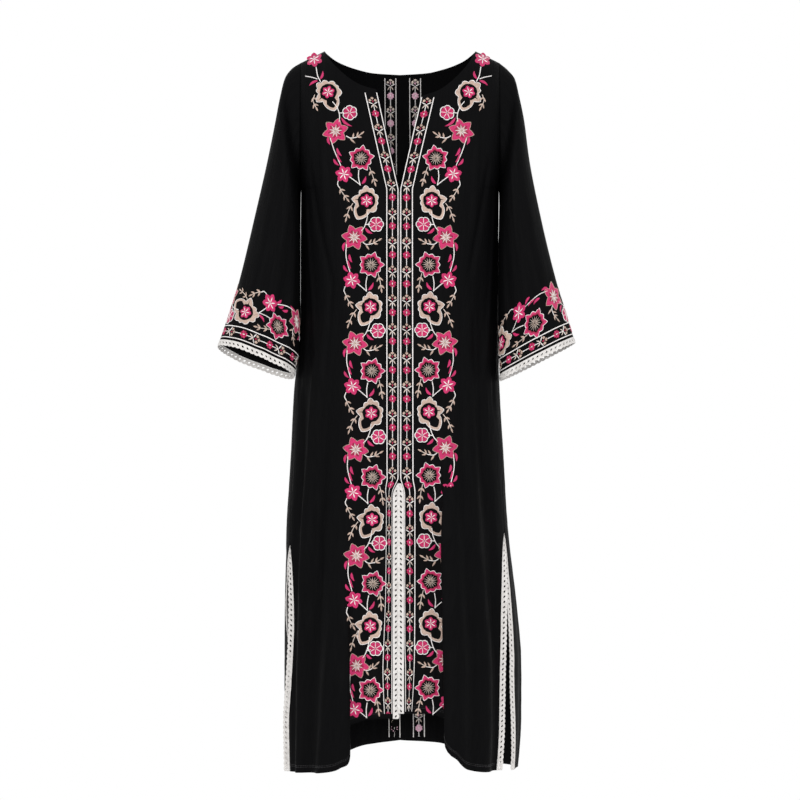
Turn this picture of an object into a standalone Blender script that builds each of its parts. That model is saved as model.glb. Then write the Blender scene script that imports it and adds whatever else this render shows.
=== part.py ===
"""Embroidered kaftan dress, filled out as when worn, every cut piece a cloth wall of its own.

Metres, +Z up, +X to the viewer's right, the front faces -Y.
The origin is midway between the two points where the neckline meets the shoulder seams.
"""
import math
from collections import namedtuple

import bpy
import numpy as np

# Cloth, trim and seams
WALL = 0.0012
LACE_WALL = 0.0012
SEAM_GAP = 0.0003
SHOULDER_GAP = 0.0007
SHOULDER_EDGE = 0.994
ARMHOLE_GAP = 0.0010
ARMHOLE_GAP_RUN = 0.03
SHOULDER_GAP_FROM = -0.20
SIDE_SEAM_GAP = 0.0007
LACE_WIDTH = 0.0112
FRONT_LACE_SHARE = 0.8
SIDE_LACE_SHARE = 0.42

# Neck, shoulders and armholes
NECK_HALF_WIDTH = 0.136
NECK_RISE = 0.03
BACK_NECK_DROP = 0.0345
SHOULDER_END = 0.178
SHOULDER_END_Z = -0.0205
SHOULDER_ROUND = 0.20
UNDERARM_Z = -0.25
ARMHOLE_ROUND = 0.13
ARMHOLE_SHARE = 0.60
CHEST_BLEND_FROM = -0.40
CHEST_BLEND_TO = -0.10
NECK_SLIT_BOTTOM = -0.257
NECK_SLIT_CORNER = {-1: 0.0416, 1: 0.0380}
NECK_SLIT_CORNER_Z = {-1: -0.0788, 1: -0.0905}

# Front hem slit and side slits
FRONT_SLIT_TOP = -0.765
FRONT_SLIT_RUN = 0.030
FRONT_SLIT_POWER = 0.7
FRONT_SLIT_OPEN = {-1: 0.0128, 1: 0.0072}
SIDE_SLIT_TOP = {-1: -0.879, 1: -0.857}
SIDE_SLIT_RUN = 0.02
FRONT_LACE_TURN = {-1: 2.0, 1: 1.0}
BACK_LACE_TURN = {-1: 0.0, 1: -0.55}

# The plan of the body is a super-ellipse
SQUARENESS = 2.3

# One row for each height: half-widths seen from the front, depths of front and back from the
# shoulder plane, and the place of the side seams in degrees round from the centre front
Section = namedtuple("Section", "z left right front back seam")
SECTIONS = [
    Section(0.040, 0.1780, 0.1780, 0.094, 0.082, 90.0),
    Section(-0.100, 0.1780, 0.1780, 0.106, 0.098, 90.0),
    Section(-0.250, 0.1780, 0.1780, 0.115, 0.102, 90.0),
    Section(-0.310, 0.1785, 0.1772, 0.115, 0.100, 88.0),
    Section(-0.450, 0.1790, 0.1770, 0.112, 0.098, 84.0),
    Section(-0.560, 0.1860, 0.1775, 0.111, 0.099, 80.0),
    Section(-0.620, 0.1912, 0.1798, 0.111, 0.100, 78.0),
    Section(-0.735, 0.1968, 0.1866, 0.112, 0.102, 75.0),
    Section(-0.870, 0.2045, 0.1945, 0.114, 0.105, 72.0),
    Section(-1.000, 0.2060, 0.2070, 0.117, 0.108, 70.0),
    Section(-1.100, 0.2060, 0.2135, 0.119, 0.110, 70.0),
    Section(-1.200, 0.2050, 0.2130, 0.121, 0.112, 70.0),
    Section(-1.310, 0.2040, 0.2050, 0.122, 0.113, 70.0),
]

# Edges of the side slits, in degrees round from the centre front
SlitEdge = namedtuple("SlitEdge", "below left_front left_back right_front right_back")
SLIT_EDGES = [
    SlitEdge(0.00, 72.0, 72.0, 72.0, 72.0),
    SlitEdge(0.05, 70.0, 79.0, 66.0, 75.0),
    SlitEdge(0.14, 69.2, 82.5, 60.8, 75.0),
    SlitEdge(0.25, 72.0, 87.0, 57.8, 73.0),
    SlitEdge(0.34, 77.0, 94.0, 57.6, 75.5),
    SlitEdge(0.43, 77.5, 96.0, 58.0, 83.0),
]

# Neckline of the front from the slit's corner out to the shoulder seam, as shares of the way
NeckPoint = namedtuple("NeckPoint", "out up")
FRONT_NECKLINE = [
    NeckPoint(0.00, 0.00),
    NeckPoint(0.30, 0.12),
    NeckPoint(0.51, 0.28),
    NeckPoint(0.72, 0.51),
    NeckPoint(0.88, 0.74),
    NeckPoint(1.00, 1.00),
]
BackNeckPoint = namedtuple("BackNeckPoint", "x drop")
BACK_NECKLINE = [
    BackNeckPoint(0.000, 1.00),
    BackNeckPoint(0.048, 0.92),
    BackNeckPoint(0.082, 0.72),
    BackNeckPoint(0.102, 0.54),
    BackNeckPoint(0.116, 0.37),
    BackNeckPoint(0.136, 0.00),
]

# Hem heights, by the distance from the centre
HemPoint = namedtuple("HemPoint", "x left right")
FRONT_HEM = [
    HemPoint(0.000, -1.187, -1.178),
    HemPoint(0.060, -1.190, -1.180),
    HemPoint(0.081, -1.200, -1.205),
    HemPoint(0.100, -1.268, -1.256),
    HemPoint(0.120, -1.279, -1.275),
    HemPoint(0.150, -1.285, -1.283),
    HemPoint(0.210, -1.292, -1.286),
]
BACK_HEM = [
    HemPoint(0.000, -1.252, -1.252),
    HemPoint(0.060, -1.262, -1.257),
    HemPoint(0.110, -1.276, -1.268),
    HemPoint(0.170, -1.288, -1.282),
    HemPoint(0.220, -1.293, -1.292),
]

# The two fronts each turn over on themselves beside the embroidery: where, how far the outer part
# stands in front of the inner one, how far it laps over, and the heights where that starts and is full
Overlap = namedtuple("Overlap", "side x_top x_hem half_width forward lap start full fade")
OVERLAPS = [
    Overlap(-1, 0.0905, 0.0885, 0.015, 0.030, 0.0078, -0.820, -1.160, 0.085),
    Overlap(1, 0.0735, 0.0845, 0.016, 0.036, 0.0128, -0.690, -0.900, 0.080),
]

# Soft folds: place in degrees from the centre front at the start and at the hem, half-width in
# degrees, height of the ridge (a trough is negative), and the heights where it starts and is full
Fold = namedtuple("Fold", "side start_at hem_at half_width height start full")
FOLDS = [
    Fold(-1, 34.0, 50.0, 5.0, -0.010, -0.350, -1.000),
    Fold(-1, 45.0, 61.0, 5.5, 0.008, -0.450, -1.150),
    Fold(-1, 27.0, 41.5, 3.6, 0.007, -0.800, -1.150),
    Fold(-1, 58.0, 66.0, 5.0, -0.007, -0.300, -0.900),
    Fold(1, 50.0, 53.5, 4.6, -0.009, -0.320, -0.850),
    Fold(1, 40.0, 44.0, 4.6, 0.007, -0.420, -1.000),
    Fold(1, 33.0, 35.0, 3.8, -0.008, -0.500, -1.000),
    Fold(-1, 88.0, 81.0, 5.0, -0.006, -0.880, -1.000),
    Fold(-1, 108.0, 104.0, 6.0, 0.010, -0.420, -1.100),
    Fold(-1, 121.0, 118.0, 5.5, -0.012, -0.360, -1.000),
    Fold(-1, 136.0, 135.0, 6.5, 0.013, -0.500, -1.150),
    Fold(-1, 150.0, 149.0, 5.0, -0.010, -0.560, -1.200),
    Fold(-1, 165.0, 163.0, 6.0, 0.009, -0.480, -1.150),
    Fold(1, 180.0, 179.0, 5.5, -0.009, -0.640, -1.200),
    Fold(1, 163.0, 161.0, 6.0, 0.011, -0.420, -1.100),
    Fold(1, 146.0, 147.0, 5.5, -0.012, -0.600, -1.150),
    Fold(1, 131.0, 130.0, 6.5, 0.012, -0.380, -1.050),
    Fold(1, 115.0, 113.0, 5.5, -0.011, -0.480, -1.100),
    Fold(1, 101.0, 97.0, 5.5, 0.008, -0.620, -1.150),
]

# Sleeves: outer and inner line seen from the front, half-depth, how far it hangs forward, and how
# much the back of the ring hangs below its front
Ring = namedtuple("Ring", "along out_x out_z in_x in_z depth forward tilt")
SLEEVE_RINGS = {
    -1: [
        Ring(0.00, 0.1780, -0.0205, 0.1780, -0.250, 0.055, 0.000, 0.00),
        Ring(0.08, 0.1935, -0.0305, 0.1787, -0.262, 0.055, 0.006, 0.00),
        Ring(0.16, 0.2065, -0.0490, 0.1789, -0.276, 0.056, 0.014, 0.00),
        Ring(0.28, 0.2145, -0.0850, 0.1787, -0.300, 0.057, 0.026, 0.00),
        Ring(0.40, 0.2223, -0.1287, 0.1783, -0.335, 0.058, 0.032, 0.02),
        Ring(0.55, 0.2358, -0.1971, 0.1780, -0.380, 0.058, 0.035, 0.06),
        Ring(0.70, 0.2590, -0.3000, 0.1780, -0.440, 0.057, 0.037, 0.12),
        Ring(0.85, 0.2889, -0.4239, 0.1785, -0.508, 0.055, 0.040, 0.18),
        Ring(0.93, 0.3055, -0.4760, 0.1805, -0.542, 0.054, 0.042, 0.21),
        Ring(1.00, 0.3213, -0.5229, 0.1865, -0.575, 0.053, 0.043, 0.24),
    ],
    1: [
        Ring(0.00, 0.1780, -0.0205, 0.1780, -0.250, 0.055, 0.000, 0.00),
        Ring(0.08, 0.1940, -0.0340, 0.1787, -0.262, 0.055, 0.006, 0.00),
        Ring(0.16, 0.2061, -0.0504, 0.1787, -0.276, 0.056, 0.014, 0.00),
        Ring(0.28, 0.2135, -0.0850, 0.1782, -0.300, 0.057, 0.026, 0.00),
        Ring(0.40, 0.2218, -0.1287, 0.1775, -0.335, 0.058, 0.032, 0.02),
        Ring(0.55, 0.2306, -0.1970, 0.1768, -0.380, 0.058, 0.035, 0.06),
        Ring(0.70, 0.2517, -0.3040, 0.1762, -0.440, 0.057, 0.037, 0.09),
        Ring(0.85, 0.2803, -0.4210, 0.1762, -0.509, 0.055, 0.040, 0.08),
        Ring(0.93, 0.2954, -0.4690, 0.1772, -0.546, 0.054, 0.042, 0.05),
        Ring(1.00, 0.3090, -0.5135, 0.1800, -0.580, 0.053, 0.043, 0.03),
    ],
}

# Share of its length over which a sleeve goes over from the armhole's outline to its own, and the
# power of the sine that gives its section
SLEEVE_BLEND = 0.35
SLEEVE_FULLNESS = 0.9

# Folds along each sleeve: degrees round from its outer line through the front, half-width in
# degrees, height, and the shares of the length where it starts and is full
SleeveFold = namedtuple("SleeveFold", "side around half_width height start full")
SLEEVE_FOLDS = [
    SleeveFold(-1, 62.0, 14.0, 0.0045, 0.30, 0.80),
    SleeveFold(-1, 118.0, 13.0, -0.0055, 0.35, 0.85),
    SleeveFold(-1, 215.0, 15.0, 0.0050, 0.30, 0.85),
    SleeveFold(-1, 265.0, 14.0, -0.0045, 0.40, 0.90),
    SleeveFold(1, 55.0, 14.0, 0.0045, 0.35, 0.80),
    SleeveFold(1, 128.0, 12.0, -0.0060, 0.30, 0.85),
    SleeveFold(1, 228.0, 15.0, 0.0050, 0.35, 0.85),
    SleeveFold(1, 280.0, 14.0, -0.0045, 0.40, 0.90),
]

# Every fold's place is given where it starts and at this height
FOLD_TABLE_HEM = -1.29

# Grid counts
SLIT_ROWS = 7
SEAM_ROWS = 8
UPPER_ROWS = 8
BELOW_SLIT_TOP = 0.012
INNER_COLUMNS = 3
OVERLAP_COLUMNS = 9
MIDDLE_COLUMNS = 1
OUTER_COLUMNS = 7
OVERLAP_FROM = {-1: 0.215, 1: 0.180}
OVERLAP_TO = {-1: 0.405, 1: 0.375}
BACK_NECK_COLUMNS = 7
BACK_SHOULDER_COLUMNS = 6
BACK_ROW_ABOVE_SLIT = 0.07
SLEEVE_STEPS = 14
SLEEVE_SIDES = 22
EDGE_MIX = 0.5
SHARP_DEGREES = 50
EDGE_ROUNDS = 40

CLOTH_COLOUR = (0.006, 0.006, 0.0065)
LACE_COLOUR = (0.86, 0.84, 0.81)
CLOTH_ROUGHNESS = 0.62
LACE_ROUGHNESS = 0.85


def smooth(knots, values, at):
    """Values on a smooth curve through the knots that never swings past them."""
    knots = np.asarray(knots, float)
    values = np.asarray(values, float)
    order = np.argsort(knots)
    knots = knots[order]
    values = values[order]
    step = np.diff(knots)
    rise = np.diff(values) / step
    slope = np.zeros(len(knots))
    slope[0] = rise[0]
    slope[-1] = rise[-1]
    for i in range(1, len(step)):
        if rise[i - 1] * rise[i] > 0:
            slope[i] = 2 * rise[i - 1] * rise[i] / (rise[i - 1] + rise[i])
    at = np.clip(np.asarray(at, float), knots[0], knots[-1])
    i = np.clip(np.searchsorted(knots, at) - 1, 0, len(step) - 1)
    t = (at - knots[i]) / step[i]
    return (
        values[i] * (1 + 2 * t) * (1 - t) ** 2
        + slope[i] * step[i] * t * (1 - t) ** 2
        + values[i + 1] * t**2 * (3 - 2 * t)
        - slope[i + 1] * step[i] * t**2 * (1 - t)
    )


def column(rows, name):
    return [getattr(row, name) for row in rows]


def section(name, z):
    return smooth(column(SECTIONS, "z"), column(SECTIONS, name), z)


def half_width(side, z):
    return section("left" if side < 0 else "right", z)


def ease(t):
    """From 0 to 1 with level ends."""
    t = np.clip(t, 0, 1)
    return t * t * (3 - 2 * t)


def angle_of(share):
    """Degrees round from the centre front where the plan reaches this share of its half-width."""
    return np.degrees(np.arcsin(np.clip(share, 0, 1) ** (SQUARENESS / 2)))


def shoulder_line(x):
    """Height of the shoulder line, carried on as a low arch over the open neck."""
    x = np.abs(x)
    slope = SHOULDER_END_Z / (SHOULDER_END - NECK_HALF_WIDTH)
    arch = NECK_RISE * (1 - (x / NECK_HALF_WIDTH) ** 2)
    return np.where(x > NECK_HALF_WIDTH, (x - NECK_HALF_WIDTH) * slope, arch)


def shoulder_round(x, z):
    """Share of the full depth: none on the shoulder line, all of it well below."""
    t = np.clip((shoulder_line(x) - z) / SHOULDER_ROUND, 0, 1)
    return np.sqrt(np.maximum(1 - (1 - t) ** 2, 0))


def armhole_share(z):
    """Depth of the armhole as a share of the panel's depth, none at and below the underarm."""
    t = np.clip((z - UNDERARM_Z) / ARMHOLE_ROUND, 0, 1)
    return ARMHOLE_SHARE * np.sqrt(np.maximum(1 - (1 - t) ** 2, 0))


def armhole_depth(z, panel):
    """Distance of the armhole's edge from the shoulder plane."""
    return section(panel, z) * shoulder_round(SHOULDER_END, z) * armhole_share(z)


def body_point(side, angle, z, panel):
    """Point of the outer face of the body at an angle round from the centre front, folds and all."""
    angle, z = np.broadcast_arrays(np.asarray(angle, float), np.asarray(z, float))
    turn = np.radians(angle)
    sine = np.clip(np.sin(turn), 0, 1)
    cosine = np.cos(turn)
    wide = half_width(side, z)
    out = wide * sine ** (2 / SQUARENESS)
    deep = np.where(cosine > 1e-9, section("front", z), section("back", z))
    deep = np.where(z > UNDERARM_Z, section(panel, z), deep)
    chest = ease((z - CHEST_BLEND_FROM) / (CHEST_BLEND_TO - CHEST_BLEND_FROM))
    near_edge = sine**12
    share = near_edge * armhole_share(z) + (1 - near_edge) * ARMHOLE_SHARE * chest
    crown = share + (1 - share) * np.abs(cosine) ** (2 / SQUARENESS)
    facing = np.where(z > UNDERARM_Z, -1.0 if panel == "front" else 1.0, -np.sign(cosine))
    across = facing * deep * shoulder_round(out, z) * crown

    normal_x = out / wide**2
    normal_y = across / deep**2
    length = np.maximum(np.hypot(normal_x, normal_y), 1e-9)
    relief = np.zeros_like(out)
    for fold in FOLDS:
        grow = ease((fold.start - z) / (fold.start - fold.full))
        run = np.clip((fold.start - z) / (fold.start - FOLD_TABLE_HEM), 0, 1)
        middle = fold.start_at + (fold.hem_at - fold.start_at) * run
        offset = angle - middle
        if fold.side != side:
            offset = (360 - angle) - middle if fold.start_at > 150 else np.full_like(angle, 999.0)
        relief += fold.height * grow * np.exp(-((offset / fold.half_width) ** 2))
    out = out + relief * normal_x / length
    across = across + relief * normal_y / length

    for lap in OVERLAPS:
        if lap.side != side:
            continue
        grow = ease((lap.start - z) / (lap.start - lap.full)) * (cosine > 0)
        run = np.clip((lap.start - z) / (lap.start - FOLD_TABLE_HEM), 0, 1)
        offset = out - (lap.x_top + (lap.x_hem - lap.x_top) * run)
        inside = np.abs(offset) < lap.half_width
        step = ease((offset + lap.half_width) / (2 * lap.half_width))
        fade = 1 - ease((offset - lap.half_width) / lap.fade)
        swing = np.sin(np.pi * offset / lap.half_width)
        out = out - np.where(inside, lap.lap * grow * swing, 0)
        across = across - lap.forward * grow * step * fade
    return np.stack([side * out, across, z], axis=-1)


def inner_edge(side, z):
    """Distance of a front's inner edge from the centre: neck slit, centre seam, hem slit."""
    corner = NECK_SLIT_CORNER[side]
    corner_z = NECK_SLIT_CORNER_Z[side]
    neck = corner * np.clip((z - NECK_SLIT_BOTTOM) / (corner_z - NECK_SLIT_BOTTOM), 0, 1)
    hem = FRONT_SLIT_OPEN[side] * ease((FRONT_SLIT_TOP - z) / FRONT_SLIT_RUN) ** FRONT_SLIT_POWER
    return np.maximum(neck + hem, SEAM_GAP / 2)


def slit_edge(name, side, z):
    """Angle of a side edge of the front or back: the side seam, then the slit's edge."""
    below = SIDE_SLIT_TOP[side] - z
    label = ("left_" if side < 0 else "right_") + name
    knots = column(SLIT_EDGES, "below")
    shift = smooth(knots, column(SLIT_EDGES, label), below) - SLIT_EDGES[0].left_front
    return section("seam", z) + np.where(below > 0, shift, 0) * ease(below / SIDE_SLIT_RUN)


def front_angle(side, share, z):
    """Angle at a share of the way from a front's inner edge to its side edge."""
    inner = angle_of(inner_edge(side, z) / half_width(side, z))
    return inner + share * (slit_edge("front", side, z) - inner)


def front_top(side, x):
    """Height of a front's top edge: neckline, then shoulder seam."""
    corner = NECK_SLIT_CORNER[side]
    corner_z = NECK_SLIT_CORNER_Z[side]
    share = (np.abs(x) - corner) / (NECK_HALF_WIDTH - corner)
    rise = smooth(column(FRONT_NECKLINE, "out"), column(FRONT_NECKLINE, "up"), share)
    return np.where(share < 1, corner_z * (1 - rise), shoulder_line(x))


def back_top(x):
    """Height of the back's top edge: neckline, then shoulder seam."""
    x = np.abs(x)
    drop = smooth(column(BACK_NECKLINE, "x"), column(BACK_NECKLINE, "drop"), x)
    return np.where(x < NECK_HALF_WIDTH, -BACK_NECK_DROP * drop, shoulder_line(x))


def hem_height(rows, side, x):
    return smooth(column(rows, "x"), column(rows, "left" if side < 0 else "right"), np.abs(x))


def panel_heights(hem, top, side_slit, front_slit):
    """Rows of heights from hem to underarm through the slits' tops, then on to the top edge."""
    run = abs(UNDERARM_Z - hem[0])
    low = np.concatenate([
        np.linspace(0, side_slit - BELOW_SLIT_TOP / run, SLIT_ROWS),
        [side_slit, front_slit - BELOW_SLIT_TOP / run],
        np.linspace(front_slit, 1, SEAM_ROWS + 1),
    ])[:, None]
    turn = np.linspace(0, math.pi, UPPER_ROWS + 1)[1:, None]
    high = (1 - np.cos(turn)) / 2
    high = np.concatenate([high[:-1], [[SHOULDER_EDGE]], high[-1:]])
    lower = hem + (UNDERARM_Z - hem) * low
    upper = UNDERARM_Z + (top - UNDERARM_Z) * high
    return np.concatenate([lower, upper]), len(low)


def slit_share(top, hem):
    """Share of the way from the hem to the underarm at which a slit ends."""
    return (top - hem) / (UNDERARM_Z - hem)


def pull_back(edge, inner, distance):
    """Edge points moved into the panel, towards the next column."""
    way = inner - edge
    return edge + way * (distance / np.linalg.norm(way, axis=-1, keepdims=True))


def armhole_inset(z):
    """Share by which a panel is narrowed beside the armhole, so that the sleeve's edge is clear."""
    return ARMHOLE_GAP / 2 / SHOULDER_END * ease((z - UNDERARM_Z + ARMHOLE_GAP_RUN) / ARMHOLE_GAP_RUN)


def front_points(side):
    """Grid of a front's outer face, rows from hem to top, columns from inner edge to side edge."""
    corner = angle_of(NECK_SLIT_CORNER[side] / SHOULDER_END)
    peak = (angle_of(NECK_HALF_WIDTH / SHOULDER_END) - corner) / (90 - corner)
    lap_from = OVERLAP_FROM[side]
    lap_to = OVERLAP_TO[side]
    share = np.concatenate([
        np.linspace(0, lap_from, INNER_COLUMNS, endpoint=False),
        np.linspace(lap_from, lap_to, OVERLAP_COLUMNS, endpoint=False),
        np.linspace(lap_to, peak, MIDDLE_COLUMNS, endpoint=False),
        np.linspace(peak, 1, OUTER_COLUMNS + 1),
    ])
    top = np.full_like(share, NECK_SLIT_CORNER_Z[side])
    hem = np.full_like(share, FRONT_HEM[-1].left)
    for _ in range(EDGE_ROUNDS):
        reach = SHOULDER_END * np.sin(np.radians(front_angle(side, share, top)))**(2 / SQUARENESS)
        top = EDGE_MIX * top + (1 - EDGE_MIX) * front_top(side, reach)
        turn = np.radians(front_angle(side, share, hem))
        hem_reach = half_width(side, hem) * np.sin(turn)**(2 / SQUARENESS)
        hem = EDGE_MIX * hem + (1 - EDGE_MIX) * hem_height(FRONT_HEM, side, hem_reach)
    side_slit = slit_share(SIDE_SLIT_TOP[side], hem[-1])
    z, seam_rows = panel_heights(hem, top, side_slit, slit_share(FRONT_SLIT_TOP, hem[0]))
    grid = body_point(side, front_angle(side, share, z), z, "front")
    edge = grid[:seam_rows, -1]
    grid[:seam_rows, -1] = pull_back(edge, grid[:seam_rows, -2], SIDE_SEAM_GAP / 2)
    grid[..., 0] *= 1 - armhole_inset(z)
    near = z > SHOULDER_GAP_FROM
    grid[..., 1] = np.where(near, np.minimum(grid[..., 1], -SHOULDER_GAP / 2), grid[..., 1])
    inner = np.abs(grid[..., 0]) < SEAM_GAP / 2
    grid[..., 0] = np.where(inner, side * SEAM_GAP / 2, grid[..., 0])
    return grid


def back_points():
    """Grid of the back's outer face, rows from hem to top, columns from left to right."""
    peak = (180 - angle_of(NECK_HALF_WIDTH / SHOULDER_END) - 90) / 90
    half = np.concatenate([
        np.linspace(0, peak, BACK_SHOULDER_COLUMNS, endpoint=False),
        np.linspace(peak, 1, BACK_NECK_COLUMNS + 1),
    ])
    halves = []
    for side in (-1, 1):
        top = np.full_like(half, SHOULDER_END_Z)
        hem = np.full_like(half, BACK_HEM[-1].left)
        for _ in range(EDGE_ROUNDS):
            reach = SHOULDER_END * np.sin(np.radians(90 + 90 * half)) ** (2 / SQUARENESS)
            top = EDGE_MIX * top + (1 - EDGE_MIX) * back_top(reach)
            start = slit_edge("back", side, hem)
            turn = np.radians(start + (180 - start) * half)
            reach = half_width(side, hem) * np.abs(np.sin(turn)) ** (2 / SQUARENESS)
            hem = EDGE_MIX * hem + (1 - EDGE_MIX) * hem_height(BACK_HEM, side, reach)
        side_slit = slit_share(SIDE_SLIT_TOP[side], hem[0])
        z, seam_rows = panel_heights(hem, top, side_slit, side_slit + BACK_ROW_ABOVE_SLIT)
        start = slit_edge("back", side, z)
        grid = body_point(side, start + (180 - start) * half, z, "back")
        edge = grid[:seam_rows, 0]
        grid[:seam_rows, 0] = pull_back(edge, grid[:seam_rows, 1], SIDE_SEAM_GAP / 2)
        grid[..., 0] *= 1 - armhole_inset(z)
        near = z > SHOULDER_GAP_FROM
        grid[..., 1] = np.where(near, np.maximum(grid[..., 1], SHOULDER_GAP / 2), grid[..., 1])
        halves.append(grid)
    left, right = halves
    middle = (left[:, -1:] + right[:, -1:]) / 2
    middle[..., 0] = 0
    return np.concatenate([left[:, :-1], middle, right[:, -2::-1]], axis=1)


def sleeve_points(side, along):
    """Rings of a sleeve's outer face, each closed, from the armhole to the cuff."""
    rows = SLEEVE_RINGS[side]
    knots = column(rows, "along")
    value = {}
    for name in Ring._fields[1:]:
        value[name] = smooth(knots, column(rows, name), along)[:, None]
    around = np.linspace(0, 360, SLEEVE_SIDES, endpoint=False)[None, :]
    turn = np.radians(around)
    share = (1 + np.cos(turn)) / 2
    x = value["in_x"] + (value["out_x"] - value["in_x"]) * share
    z = value["in_z"] + (value["out_z"] - value["in_z"]) * share

    root_z = UNDERARM_Z + (SHOULDER_END_Z - UNDERARM_Z) * share
    front = -armhole_depth(root_z, "front")
    back = armhole_depth(root_z, "back")
    root_y = np.where(np.sin(turn) > 0, front, back) * (np.abs(np.sin(turn)) > 1e-6)
    swing = np.abs(np.sin(turn)) ** SLEEVE_FULLNESS
    relief = np.zeros(np.broadcast_shapes(x.shape, turn.shape))
    for fold in SLEEVE_FOLDS:
        if fold.side == side:
            grow = ease((along[:, None] - fold.start) / (fold.full - fold.start))
            offset = (around - fold.around) / fold.half_width
            relief += fold.height * grow * np.exp(-(offset**2))
    tube_y = -(value["depth"] + relief) * np.sign(np.sin(turn)) * swing - value["forward"]
    blend = ease(along / SLEEVE_BLEND)[:, None]
    y = root_y * (1 - blend) + tube_y * blend
    z = z - value["tilt"] * (y + value["forward"])
    x = side * (x + ARMHOLE_GAP / 2)
    return np.stack([x, y, z], axis=-1)


def new_material(name, colour, roughness):
    material = bpy.data.materials.new(name)
    material.use_nodes = True
    shader = material.node_tree.nodes["Principled BSDF"]
    shader.inputs["Base Color"].default_value = (*colour, 1.0)
    shader.inputs["Roughness"].default_value = roughness
    shader.inputs["Metallic"].default_value = 0.0
    material.diffuse_color = (*colour, 1.0)
    return material


def cloth_wall(name, grid, outwards, closed, wall, material, collection):
    """A wall of cloth inwards from a grid of points; outwards says whether the grid's normals are."""
    rows, columns = grid.shape[:2]
    faces = []
    for r in range(rows - 1):
        for c in range(columns if closed else columns - 1):
            a = r * columns + c
            b = r * columns + (c + 1) % columns
            face = (a, b, b + columns, a + columns)
            faces.append(face if outwards else face[::-1])
    mesh = bpy.data.meshes.new(name)
    mesh.from_pydata(grid.reshape(-1, 3).tolist(), [], faces)
    mesh.shade_smooth()
    mesh.set_sharp_from_angle(angle=math.radians(SHARP_DEGREES))
    mesh.materials.append(material)
    piece = bpy.data.objects.new(name, mesh)
    collection.objects.link(piece)
    solidify = piece.modifiers.new("Cloth thickness", "SOLIDIFY")
    solidify.thickness = wall
    solidify.offset = -1.0
    return piece


def lace_strip(edge, inner, opening, share, turn, push):
    """Two columns of points outwards from a panel's edge, the first one just clear of it."""
    tangent = edge - inner
    tangent[:, 2] = 0
    tangent /= np.linalg.norm(tangent, axis=1, keepdims=True)
    way = tangent + np.array([turn, 0, 0])
    way /= np.linalg.norm(way, axis=1, keepdims=True)
    lean = np.abs(tangent[:, 0] * way[:, 1] - tangent[:, 1] * way[:, 0])
    clear = SEAM_GAP + LACE_WALL * lean
    start = edge + tangent * clear[:, None] + np.array([0, push, 0])
    width = np.clip(share * opening - clear, SEAM_GAP, LACE_WIDTH)
    return np.stack([start, start + way * width[:, None]], axis=1)


def front_slit_lace(side, grid):
    """Lace along one edge of the front hem slit; the right one lies over the left one."""
    rows = grid[:, 0, 2] < FRONT_SLIT_TOP - BELOW_SLIT_TOP / 2
    z = grid[rows, 0, 2]
    opening = inner_edge(-1, z) + inner_edge(1, z)
    push = -side * (LACE_WALL + SEAM_GAP) / 2
    return lace_strip(grid[rows, 0], grid[rows, 1], opening, FRONT_LACE_SHARE, 0.0, push)


def side_slit_lace(side, panel, grid):
    """Lace along the front's or the back's edge of a side slit."""
    last = -1 if panel == "front" or side > 0 else 0
    next_one = -2 if last == -1 else 1
    rows = grid[:, last, 2] < SIDE_SLIT_TOP[side] - BELOW_SLIT_TOP / 2
    edge = grid[rows, last]
    z = edge[:, 2]
    other = "back" if panel == "front" else "front"
    far = body_point(side, slit_edge(other, side, z), z, other)
    opening = np.linalg.norm(far - edge, axis=1)
    turn = side * (FRONT_LACE_TURN[side] if panel == "front" else BACK_LACE_TURN[side])
    return lace_strip(edge, grid[rows, next_one], opening, SIDE_LACE_SHARE, turn, 0.0)


def cuff_lace(side):
    """Lace ring carried on from the end of a sleeve."""
    rings = sleeve_points(side, np.array([1 - 1 / SLEEVE_STEPS, 1.0]))
    way = rings[1] - rings[0]
    way /= np.linalg.norm(way, axis=1, keepdims=True)
    start = rings[1] + way * SEAM_GAP
    return np.stack([start, start + way * LACE_WIDTH])


def clear_scene():
    for item in list(bpy.data.objects):
        bpy.data.objects.remove(item)


def main():
    clear_scene()
    dress = bpy.data.collections.new("embroidered_kaftan_dress")
    bpy.context.scene.collection.children.link(dress)

    def cloth(name, grid, outwards, closed=False):
        finish = new_material(name + "_cloth", CLOTH_COLOUR, CLOTH_ROUGHNESS)
        cloth_wall(name, grid, outwards, closed, WALL, finish, dress)

    def lace(name, grid, outwards, closed=False):
        finish = new_material(name + "_lace", LACE_COLOUR, LACE_ROUGHNESS)
        cloth_wall(name, grid, outwards, closed, LACE_WALL, finish, dress)

    back = back_points()
    cloth("back", back, False)
    for side, label in ((-1, "left"), (1, "right")):
        front = front_points(side)
        cloth("front_" + label, front, side > 0)
        sleeve = sleeve_points(side, np.linspace(0, 1, SLEEVE_STEPS + 1))
        cloth("sleeve_" + label, sleeve, side > 0, closed=True)
        lace("lace_cuff_" + label, cuff_lace(side), side > 0, closed=True)
        lace("lace_front_slit_" + label, front_slit_lace(side, front), side < 0)
        lace("lace_side_front_" + label, side_slit_lace(side, "front", front), side > 0)
        lace("lace_side_back_" + label, side_slit_lace(side, "back", back), side < 0)


main()
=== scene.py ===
import math
from collections import namedtuple

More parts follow.
